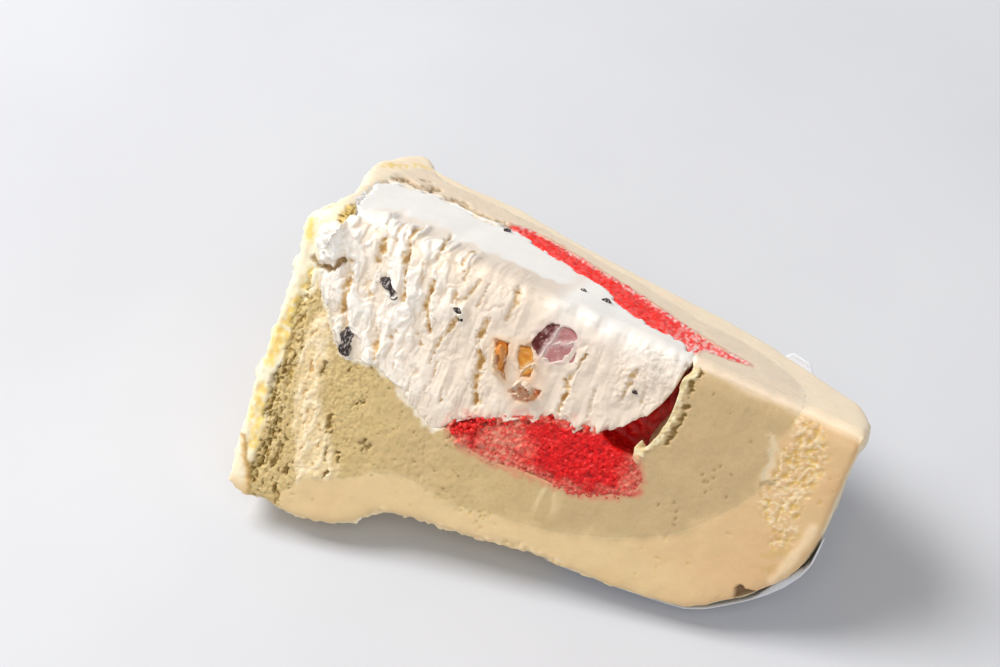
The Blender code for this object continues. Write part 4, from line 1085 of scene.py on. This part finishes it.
def torn_face(flat):
    """Height of the torn cut, how deep its creases go and how much painted shade its furrows get."""
    height, down = flat[:, 0], flat[:, 1]
    lean = 0.24 * (1 - ramp(height, 24, 38)) - 0.03
    bent = flat.copy()
    bent[:, 0] += -lean * down + 0.9 * noise(flat, 4.5, 23) + 0.4 * noise(flat, 1.6, 24)
    bent[:, 1] += 1.6 * noise(flat, 3.6, 25)
    coarse = ramp(height + 0.3 * down + 2.0 * noise(flat, 6.0, 26), 36.0, 26.0)
    crumbly = ramp(height + 1.5 * noise(flat, 3.0, 27), 60.0, 65.0) * ramp(down, 14.5, 12.0)
    fibrous = ramp(height - 0.5 * down + 2.0 * noise(flat, 6.0, 28), 44.0, 36.0)
    start = -2.8 + 5.5 * ramp(height, 40, 50) * ramp(height, 68, 60)
    begin = ramp(down + 1.0 * noise(flat, 3.0, 29) - start, 0.0, 2.0)

    big = layered(bent, (3.0, 6.0, 5.0), 2, 30)
    shelf = ramp(big, -0.12, 0.02) + ramp(big, 0.32, 0.44)
    wide = lobes(bent, (2.6, 6.4, 5.0), 32, 0.09)
    narrow = lobes(bent, (1.25, 3.6, 4.0), 33, 0.08)
    fine = lobes(bent, (0.8, 1.7, 2.0), 34, 0.1)
    tiny = layered(flat, (0.55, 0.8, 1.0), 2, 35)
    soft = layered(flat, (5.5, 8.0, 4.0), 2, 36)
    crumbs = lobes(flat, (1.2, 1.3, 1.0), 37) * ramp(noise(flat, 2.0, 38), -0.5, 0.3)

    lively = ramp(layered(flat, (6.0, 7.0, 5.0), 2, 39), -0.35, 0.4)
    fibrous = fibrous * (0.15 + 0.85 * lively)
    busy = 0.35 + 0.65 * ramp(layered(flat, (5.0, 5.0, 5.0), 2, 31), -0.3, 0.3)
    rough = begin * (coarse * (0.40 * shelf + 0.24 * wide + (0.08 * narrow + 0.05 * tiny) * busy)
                     + (1 - coarse) * fibrous * (0.18 * wide + 0.12 * narrow + 0.05 * fine)
                     + crumbly * (0.26 * crumbs + 0.08 * tiny)
                     + 0.03 * fine + 0.015 * tiny)
    rough += 0.42 * soft * ramp(down, -2.0, 3.0)
    furrows, furrow_shade = furrow_marks(flat)
    creases = begin * np.clip(
        coarse * (0.4 * (1 - shelf / 2) + 0.45 * (1 - wide) + 0.3 * (1 - narrow))
        + (1 - coarse) * fibrous * (0.65 * (1 - narrow) + 0.3 * (1 - fine)), 0, 1)
    return rough - 0.30 - furrows, creases, furrow_shade


def torn_part(spots):
    """A test for spots on the front and on the torn strip of the upper cut."""
    depth, height = TORN_STRIP
    strip = (spots[:, 1] < 1.0) & (spots[:, 2] < depth) & (spots[:, 0] < height)
    return (spots[:, 2] < TORN_DEPTH) | strip


def filling_body():
    """The filling's solid, closed behind the fruit and thickened at its lump."""
    plugs = [grown_layer("white_filling")]
    for name in FRUIT_SHAPES:
        points, triangles = NODE_SHAPES[name]
        middle = points.mean(axis=0)
        plug = middle + (points - middle) * PLUG_GROWTH
        plug[:, 2] = np.maximum(plug[:, 2], 0.2)
        plugs.append((plug, triangles))
    return joined(plugs + beads(LUMP_BEADS, *LUMP_DEPTHS))


def make_filling():
    """White cream, torn on the front and wiped smooth on the upper cut."""
    piece = remeshed("torn_filling", *filling_body(), FILLING_VOXEL, [near_cuts(2.3), torn_part])
    points = points_of(piece)
    depth, outward = cut_frame(points)
    flat = unrolled(points, TOP_STRETCH)
    upperness = upper_share(outward)
    frontness = 1 - upperness
    level = front_level(points)
    keep = 1 - ramp(depth - np.where(points[:, 1] > 2.5, level, 0.0), 0.4, 2.2)
    away = layer_distances(points, keep > 0.01)
    rough, creases, furrow_shade = torn_face(flat)
    lump = ramp(shape_depth(flat, LUMP_SHAPE) + 0.5 * noise(flat, 1.2, 60), -0.2, 0.5)
    undercut = strokes(flat, UNDERCUTS, 61, 0.4) * (1 - lump)
    reach = ramp(flat[:, 1] + 1.0 * noise(flat, 3.0, 77), -3.3, -2.5)
    reach = reach * ramp(flat[:, 0], 50.0, 45.0) * ramp(flat[:, 0], 5.0, 9.0)
    torn = np.maximum(frontness, reach)

    top_out = 0.22 * layered(flat, (9.0, 7.0, 4.0), 2, 68) - 0.25 * ramp(flat[:, 0], 52.0, 46.0)
    out = filling_front(flat, rough, lump, undercut) * torn + top_out * (1 - torn)
    out += filling_borders(points, flat, away, upperness, lump)
    flatten = np.where(points[:, 1] > 2.0, level * ramp(points[:, 1], 2.0, 3.2), 0.0)
    moved = points + outward * (keep * (out + flatten * frontness))[:, None]
    set_points(piece, ragged_hem(moved, keep * frontness))
    paint(piece, filling_color(flat, away, (rough, creases, furrow_shade, lump, undercut, torn), upperness))
    settle(piece, ["white_filling"], ice_material(
        "torn_cream", 0.46, 0.3, 0.3, (1.0, 0.82, 0.64), mottle=0.03))


def filling_front(flat, rough, lump, undercut):
    """Outward height of the torn front, calm and open where the fruit shows."""
    window, near_window = np.zeros(len(flat)), np.zeros(len(flat))
    for corners in FRUIT_SHAPES.values():
        inside = shape_depth(flat, corners)
        window = np.maximum(window, ramp(inside + 0.3 * noise(flat, 0.9, 65), -0.15, 0.25))
        near_window = np.maximum(near_window, ramp(inside, -2.5, -0.2))
    window = window * (1 - strokes(flat, CREAM_VEILS, 63, 0.25))
    calm = np.maximum(near_window, window)
    out = rough + lump * (0.7 + 0.35 * layered(flat, 1.2, 2, 66)) - 0.9 * undercut
    out = out * (1 - calm) + calm * (0.05 + 0.12 * layered(flat, 1.6, 2, 67))
    return out - window


def filling_borders(points, flat, away, upperness, lump):
    """Outward height along the edge between the cuts, and the drop beyond its own border."""
    edge = ramp(np.maximum(points[:, 1], points[:, 2]), 5.0, 0.8)
    out = edge * (0.7 * layered(flat, (5.0, 12.0, 9.0), 3, 74, 0.55) - 0.6)
    fringe = (0.35 + 0.8 * upperness) * layered(flat, 2.2, 3, 69, 0.6)
    beyond = ramp(away["white_filling"] + fringe, 0.15, 0.6)
    near_wall = distance_to_walls(away) < 1.5
    return out - beyond * (0.8 + 0.3 * upperness) * near_wall * (1 - lump)


def filling_color(flat, away, marks, upperness):
    """Colour of the filling: torn on the front, with painted highlights on its crests and painted shade
    in its creases and furrows, and white where it was wiped.
    """
    rough, creases, furrow_shade, lump, undercut, torn = marks
    frontness = 1 - upperness
    right = ramp(flat[:, 0] + 2.0 * noise(flat, 5.0, 75), 21.0, 35.0)
    # painted highlight: the raised crests of the torn front are painted whiter
    white = ramp(rough, -0.05, 0.35) * (0.6 - 0.4 * right)
    color = tinted(mix(FILLING, FILLING_RIGHT, right), [
        (FILLING_SHADE, (0.22 + 0.3 * layered(flat, 4.0, 3, 70)) * (1 - right)),
        (FILLING_WHITE_AND_HIGHLIGHT, white * torn),
        # painted shade in the creases and furrows
        (FILLING_CREASE_SHADE, 0.24 * creases * torn),
        (FILLING_CREASE_SHADE, 0.9 * ramp(furrow_shade, 0.1, 0.6) * torn),
        (FILLING_FURROW_SHADE, 0.7 * ramp(furrow_shade, 0.55, 0.9) * torn),
        (LUMP_SHADOW, 0.9 * undercut),
        (FILLING_WHITE_AND_HIGHLIGHT, 0.8 * lump),
    ])
    color = fruit_film(flat, color, frontness)
    # painted light: at the smooth right end the front near the edge is painted whiter, as lit as the
    # top; elsewhere on the upper cut the whiter tone is the wiped cream's own white
    smooth_end = ramp(flat[:, 0], 44.0, 50.0)
    whiter = ramp(flat[:, 1] + 1.5 * noise(flat, 4.0, 78), 8.0, -3.6) * smooth_end
    whiter = np.maximum(whiter, upperness * (1 - torn) * (1 - smooth_end))
    stain = ramp(away["red_sponge"] + 1.6 * noise(flat, 2.2, 71), 2.6, 0.2) * frontness
    veiled = ramp(near_line(flat, FRUIT_VEIL_LINE), 4.5, 1.0) * frontness
    flecks = ramp(noise(flat, 0.8, 73), 0.92, 1.05) * frontness
    # painted shade: the upper cut is painted a little darker
    return tinted(color * (1 - TOP_PAINTED_SHADE * upperness)[:, None], [
        (FILLING_TOP, whiter),
        (FILLING_STAIN, 0.6 * stain * ramp(noise(flat, 1.1, 72), -0.5, 0.5)),
        (FRUIT_VEIL, 0.5 * veiled),
        (FILLING_FLECK, 0.7 * flecks),
    ])


def fruit_film(flat, color, frontness):
    """Fruit that shows faintly through the cream around its openings."""
    for name, (body, dark, smear) in FRUIT_TONES.items():
        near = shape_depth(bent_by(flat, 76, 0.3), FRUIT_SHAPES[name])
        film = mix(smear, body, np.full(len(flat), 0.3))
        bare = ramp(near, 0.1, 0.4) * frontness * (1 - strokes(flat, CREAM_VEILS, 63, 0.25))
        color = tinted(color, [
            (film, 0.5 * ramp(near, -1.6, 0.2) * frontness),
            (mix(body, dark, 0.5 + 0.5 * noise(flat, 0.9, 79)), 0.9 * bare)])
    return color


def distance_to_walls(away):
    """Distance to the nearest of the other layers."""
    return np.minimum(np.minimum(away["vanilla_cream"], away["pistachio_cream"]),
                      away["red_sponge"])


def joined(shapes):
    """One list of points and triangles from several."""
    points, triangles, start = [], [], 0
    for some_points, some_triangles in shapes:
        points.append(some_points)
        triangles.append(some_triangles + start)
        start += len(some_points)
    return np.concatenate(points), np.concatenate(triangles)


def front_level(points):
    """How far behind the front cut the model's torn face lies at each point."""
    tree = NODE_TREES["white_filling"]
    level = np.zeros(len(points))
    for index in np.flatnonzero(points[:, 2] < 5.0):
        start = Vector((points[index, 0], points[index, 1], -6.0))
        hit = tree.ray_cast(start, Vector((0, 0, 1)))
        if hit[0] is not None and hit[0].z < FACE_ZONE:
            level[index] = hit[0].z
    return level


HEM_LINE = [(37.4, 32.9), (39.2, 29.4), (41.8, 27.8), (45.7, 26.7), (50, 24), (53.6, 22.6),
            (58.5, 21.6), (62.5, 21.1), (65, 19.3), (67.3, 17.3), (70.7, 15.3), (73.2, 11.2),
            (74.7, 7.3)]
TEETH = [(57.0, -0.7, 0.7), (59.7, 1.2, 0.6), (61.6, -0.7, 0.45), (63.9, 1.1, 0.6),
         (65.2, -0.8, 0.4), (68.2, 0.6, 1.5), (51.5, 0.5, 0.8), (46.5, 0.6, 0.8), (54.4, -0.8, 0.7)]


def ragged_hem(points, weight):
    """Drips and nicks of the filling's lower edge over the sponge."""
    flat = unrolled(points)
    near = ramp(near_line(flat, HEM_LINE), 2.4, 0.6) * weight
    along = flat.copy()
    along[:, 1] = 0.0
    drop = 0.5 * noise(along, 2.6, 80) + 0.3 * noise(along, 0.9, 81)
    for height, length, half in TEETH:
        drop += length * np.exp(-((flat[:, 0] - height) / half) ** 2)
    moved = points.copy()
    moved[:, 1] += near * drop
    moved[:, 2] -= 0.4 * near * ramp(drop, -0.2, 0.9)
    return moved


# ---- Candied fruit ----
FRUIT_VOXEL = 0.3
FRUIT_LEVEL = 0.3                   # a fruit's cut lies this far behind the front cut
FRUIT_SPREAD = 1.24                 # a fruit reaches this much under the cream around it
CHERRY_FOLD = (50.9, -0.24)         # height of its fold at the upper cut, and its lean


def make_fruit(name, seed):
    """A moist piece of candied fruit, cut flat in front, with cream smeared over it."""
    points, triangles = NODE_SHAPES[name]
    middle = points.mean(axis=0)
    grown = middle + (points - middle) * (FRUIT_SPREAD, FRUIT_SPREAD, 1.0)
    piece = remeshed(name + "_moist", grown, triangles, FRUIT_VOXEL)
    points = points_of(piece)
    normals = normals_of(piece)
    flat = unrolled(points)
    rough = 0.10 * layered(points, 1.6, 3, seed) - 0.16 * ramp(noise(points, 0.8, seed + 4), 0.3, 0.8)
    moved = points + normals * rough[:, None]
    moved[:, 2] = np.maximum(moved[:, 2], FRUIT_LEVEL + rough)
    set_points(piece, moved)
    body, dark, smear = FRUIT_TONES[name]
    shade = 0.5 + 0.9 * layered(flat, 1.4, 3, seed + 1)
    if name == "candied_cherry":
        beyond_fold = flat[:, 0] - CHERRY_FOLD[0] - CHERRY_FOLD[1] * flat[:, 1]
        shade = 0.7 * shade + 0.65 - 1.2 * ramp(beyond_fold, -0.3, 0.5)
    veil = strokes(flat, CREAM_VEILS, 63, 0.3, 3.5, 0.5)
    cover = ramp(layered(flat, (1.5, 2.2, 2.0), 3, seed + 2), 0.25, 0.7)
    speck = ramp(noise(points, 0.45, seed + 5) + 0.5 * noise(points, 0.9, seed + 6), 0.45, 0.75)
    paint(piece, tinted(mix(body, dark, shade), [
        (smear, np.maximum(0.35 * cover, 0.7 * veil)), (smear, 0.7 * speck)]))
    settle(piece, [name], ice_material(
        name + "_skin", 0.3, 0.35, 0.3, (1.0, 0.3, 0.15), coat=0.3))


# ---- Chocolate chips ----
# A chip is (height, distance, half length, turn in degrees)
FRONT_CHIPS = [
    (15.7, 10.5, 1.7, 10), (17.4, 12.2, 1.3, 60), (11.5, 23.6, 1.6, 85), (12.0, 26.0, 1.6, 70),
    (30.2, 9.7, 1.1, 10), (31.3, 11.2, 0.7, 70), (67.6, 10.4, 0.5, 0),
]
CHIP_BROWN, CHIP_DARK, CHIP_FROST = srgb(70, 56, 52), srgb(30, 22, 20), srgb(214, 204, 196)
CHIP_FORM = (0.95, 0.7, 0.6)        # its three radii, as shares of its half length
UPPER_CHIPS = [(54.5, 13.3, 1.0, 30), (49.4, 14.2, 0.6, 0), (27.7, 33.4, 0.8, 50)]


def make_chips():
    """Broken chocolate chips, jagged and frosted, one mesh for all."""
    places = [(*chip, False) for chip in FRONT_CHIPS] + [(*chip, True) for chip in UPPER_CHIPS]
    piece = scattered("chocolate_chips", 4, places, chip_points)
    points = points_of(piece)
    frost = ramp(noise(points, (0.35, 1.0, 0.5), 41) + 0.4 * noise(points, 0.3, 42), 0.1, 0.6)
    color = mix(CHIP_BROWN, CHIP_DARK, 0.5 + noise(points, 0.7, 40))
    paint(piece, mix(color, CHIP_FROST, 0.7 * frost))
    settle(piece, [], ice_material("frosted_chocolate", 0.5, 0.6, 0.0))


def chip_points(unit, number, height, distance, half, turn, on_upper):
    """A chip's points: a dented, flattened ball laid into one of the two cuts."""
    rough = 1 + 0.25 * noise(unit, 0.9, number) + 0.15 * noise(unit, 0.35, number + 9)
    shaped = unit * rough[:, None] * np.array(CHIP_FORM) * half * 1.1
    spun = turned(shaped, turn) + (height, distance, -0.05)
    return spun[:, [0, 2, 1]] if on_upper else spun


def ball(level):
    """Points and faces of a round ball."""
    work = bmesh.new()
    bmesh.ops.create_icosphere(work, subdivisions=level, radius=1.0)
    points = np.array([v.co for v in work.verts])
    faces = [[v.index for v in face.verts] for face in work.faces]
    work.free()
    return points, faces


def scattered(name, level, places, points_for):
    """One mesh of many balls, each shaped and put in its place by a function."""
    unit, ball_faces = ball(level)
    points, faces = [], []
    for number, place in enumerate(places):
        faces += [[index + len(points) for index in face] for face in ball_faces]
        points += points_for(unit, number, *place).tolist()
    return new_mesh_object(name, points, faces)


def turned(points, degrees):
    """Turn points in the plane of the front cut."""
    angle = math.radians(degrees)
    spun = points.copy()
    spun[:, 0] = points[:, 0] * math.cos(angle) - points[:, 1] * math.sin(angle)
    spun[:, 1] = points[:, 0] * math.sin(angle) + points[:, 1] * math.cos(angle)
    return spun


# ---- Crumbs ----
CRUMB_RED = srgb(238, 60, 48)
CRUMB_SEED = 3
CRUMB_FORM = (1.0, 0.8, 0.7)        # its three radii, as shares of the largest
# (line, spread beside it, count, smallest and largest radius)
CRUMB_TRAILS = [
    ([(39, 29.5), (44, 27.4), (50, 24.5), (57, 22)], 0.5, 30, 0.2, 0.5),
    ([(38.5, 31), (41, 31)], 0.8, 12, 0.4, 0.8),
]


def crumb_points(unit, number, height, distance, radius):
    """A crumb's points, half sunk into the front cut."""
    rough = 1 + 0.5 * noise(unit, 0.9, CRUMB_SEED + number)
    shaped = unit * rough[:, None] * np.array(CRUMB_FORM) * radius
    return turned(shaped, 47 * number) + (height, distance, -0.3 * radius)


def spread_along(line, width, count, small, large, draw):
    """Random crumb spots beside a polyline."""
    line = np.array(line, float)
    steps = np.linalg.norm(np.diff(line, axis=0), axis=1)
    marks = np.concatenate([[0.0], np.cumsum(steps)])
    places = draw.uniform(0, marks[-1], count)
    heights = np.interp(places, marks, line[:, 0]) + draw.normal(0, width, count)
    distances = np.interp(places, marks, line[:, 1]) + draw.normal(0, width, count)
    return list(zip(heights, distances, draw.uniform(small, large, count)))


def make_crumbs():
    """Crumbs of the sponge along the filling's hem."""
    draw = np.random.RandomState(5)
    spots = [spot for trail in CRUMB_TRAILS for spot in spread_along(*trail, draw)]
    piece = scattered("sponge_crumbs", 2, spots, crumb_points)
    paint(piece, mix(SPONGE, CRUMB_RED, 0.5 + noise(points_of(piece), 0.6, CRUMB_SEED)))
    settle(piece, [], ice_material(
        "sponge_crumb", 0.5, 0.5, 0.3, (1.0, 0.1, 0.06)))


# ---- Paper ----
PAPER_TONES = ((226, 228, 236), (200, 202, 210), (214, 216, 222))   # dry, damp and its fibres


def paper_material():
    """Thin matte paper with faint fibres and damp patches."""
    material, tree, shader, node, texture, spread, blend = shader_tools("damp_paper")
    damp = spread(texture(60.0, 3.0).outputs["Fac"], 0.45, 0.7)
    fibre = spread(texture(2600.0, 5.0, 0.7).outputs["Fac"], 0.35, 0.65)
    dry, wet, thread = ((*srgb(*tone), 1.0) for tone in PAPER_TONES)
    tree.links.new(blend(blend(dry, wet, damp), thread, fibre), shader.inputs["Base Color"])
    tree.links.new(spread(damp, 0.0, 1.0, 0.75, 0.5), shader.inputs["Roughness"])
    bump = node("Bump", {"Height": fibre, "Strength": 0.3, "Distance": 0.0001})
    tree.links.new(bump.outputs["Normal"], shader.inputs["Normal"])
    return material


PAPER_THICKNESS = 0.35
PAPER_TAB_SHARE = 0.6               # share of its height that the protruding corner keeps
PAPER_PULL = 0.75                   # share of its distance by which it is drawn to the cream
PAPER_RIM_START = 3.5               # behind the front cut: the paper's rim is folded in to here
PAPER_RIM_END = 8.0
PAPER_RIM_SINK = 1.6                # how far the folded rim presses into the cream
PAPER_RIM_HEIGHTS = (103.0, 107.0)  # below the first height the rim is plain


def make_paper():
    """The strip of paper under the crown, softly creased."""
    points, triangles = NODE_SHAPES["paper_liner"]
    piece = new_mesh_object("paper_strip", points, triangles)
    work = bmesh.new()
    work.from_mesh(piece.data)
    bmesh.ops.subdivide_edges(work, edges=list(work.edges), cuts=2, use_grid_fill=True)
    bmesh.ops.recalc_face_normals(work, faces=work.faces)
    work.to_mesh(piece.data)
    work.free()
    points = points_of(piece)
    away = points.copy()
    away[:, 0] = 0.0
    away /= np.maximum(np.linalg.norm(away, axis=1, keepdims=True), 1e-6)
    inner = ramp(-(normals_of(piece) * away).sum(1), 0.15, 0.5)
    rim = ramp(points[:, 2], PAPER_RIM_END, PAPER_RIM_START) * inner
    rim = rim * ramp(points[:, 0], *PAPER_RIM_HEIGHTS)
    spare = np.maximum(distance_to(points, ["vanilla_cream"], 5.0) - PAPER_THICKNESS, 0.0)
    crease = 0.12 * layered(points, 8.0, 2, 50) - PAPER_PULL * spare
    crease -= rim * ((1 - PAPER_PULL) * spare + PAPER_RIM_SINK)
    points = points + away * crease[:, None]
    points[:, 2] += 0.35 * rim * layered(points, 2.0, 2, 51)
    points[:, 1] -= (1 - PAPER_TAB_SHARE) * np.minimum(points[:, 1], 0.0)
    set_points(piece, keep_above_ground(points))
    settle(piece, ["paper_liner"], paper_material())


# ---- Stage ----
CAMERA_PLACE = (-0.0084, -0.35554, 0.35832)
CAMERA_TILT = math.radians(46.987)
CAMERA_LENS, SENSOR_WIDTH = 86.4, 36.0
FLOOR_TONES = ((206, 206, 208), (198, 198, 201))
SKY_TONE, SKY_STRENGTH = (0.95, 0.97, 1.0, 1.0), 0.38
# A light is (name, place, size, power)
LIGHTS = [("key", (-0.55, 0.22, 0.85), 0.55, 11.0), ("fill", (0.05, -0.9, 0.75), 0.9, 4.6)]


def make_stage():
    """Pale floor, soft key light from the back left, a fill and the camera."""
    bpy.ops.mesh.primitive_plane_add(size=6.0, location=(0, 0, -0.0002))
    floor = bpy.context.object
    floor.name = "floor"
    material, tree, shader, _, texture, spread, blend = shader_tools("pale_floor")
    soft = spread(texture(8.0, 4.0).outputs["Fac"], 0.3, 0.7)
    light, dark = ((*srgb(*tone), 1.0) for tone in FLOOR_TONES)
    tree.links.new(blend(light, dark, soft), shader.inputs["Base Color"])
    shader.inputs["Roughness"].default_value = 0.75
    floor.data.materials.append(material)
    world = bpy.data.worlds.new("studio")
    bpy.context.scene.world = world
    world.use_nodes = True
    background = world.node_tree.nodes["Background"]
    background.inputs["Color"].default_value = SKY_TONE
    background.inputs["Strength"].default_value = SKY_STRENGTH
    for light_settings in LIGHTS:
        area_light(*light_settings)
    camera_data = bpy.data.cameras.new("camera")
    camera = bpy.data.objects.new("camera", camera_data)
    bpy.context.scene.collection.objects.link(camera)
    camera.location = CAMERA_PLACE
    camera.rotation_euler = (CAMERA_TILT, 0.0, 0.0)
    camera_data.sensor_width = SENSOR_WIDTH
    camera_data.lens = CAMERA_LENS
    camera_data.clip_start = 0.01
    bpy.context.scene.camera = camera
    bpy.context.scene.view_settings.view_transform = "Standard"


def area_light(name, place, size, power):
    """A square soft light that faces the slice."""
    data = bpy.data.lights.new(name, "AREA")
    data.shape = "SQUARE"
    data.size = size
    data.energy = power
    light = bpy.data.objects.new(name, data)
    bpy.context.scene.collection.objects.link(light)
    light.location = place
    light.rotation_euler = (-Vector(place)).to_track_quat("-Z", "Y").to_euler()


make_stage()
make_wall("cream_wall", "vanilla_cream", ice_material(
    "half_melted_cream", 0.42, 0.25, 0.3, mottle=0.035))
make_wall("pistachio_layer", "pistachio_cream", ice_material(
    "pistachio_ice", 0.5, 0.5, 0.25, mottle=0.06), [coarse_corner])
make_sponge()
make_filling()
for fruit, fruit_seed in (("candied_cherry", 60), ("candied_peel_small", 70),
                          ("candied_peel_large", 80), ("candied_peel_lower", 90)):
    make_fruit(fruit, fruit_seed)
make_chips()
make_crumbs()
make_paper()
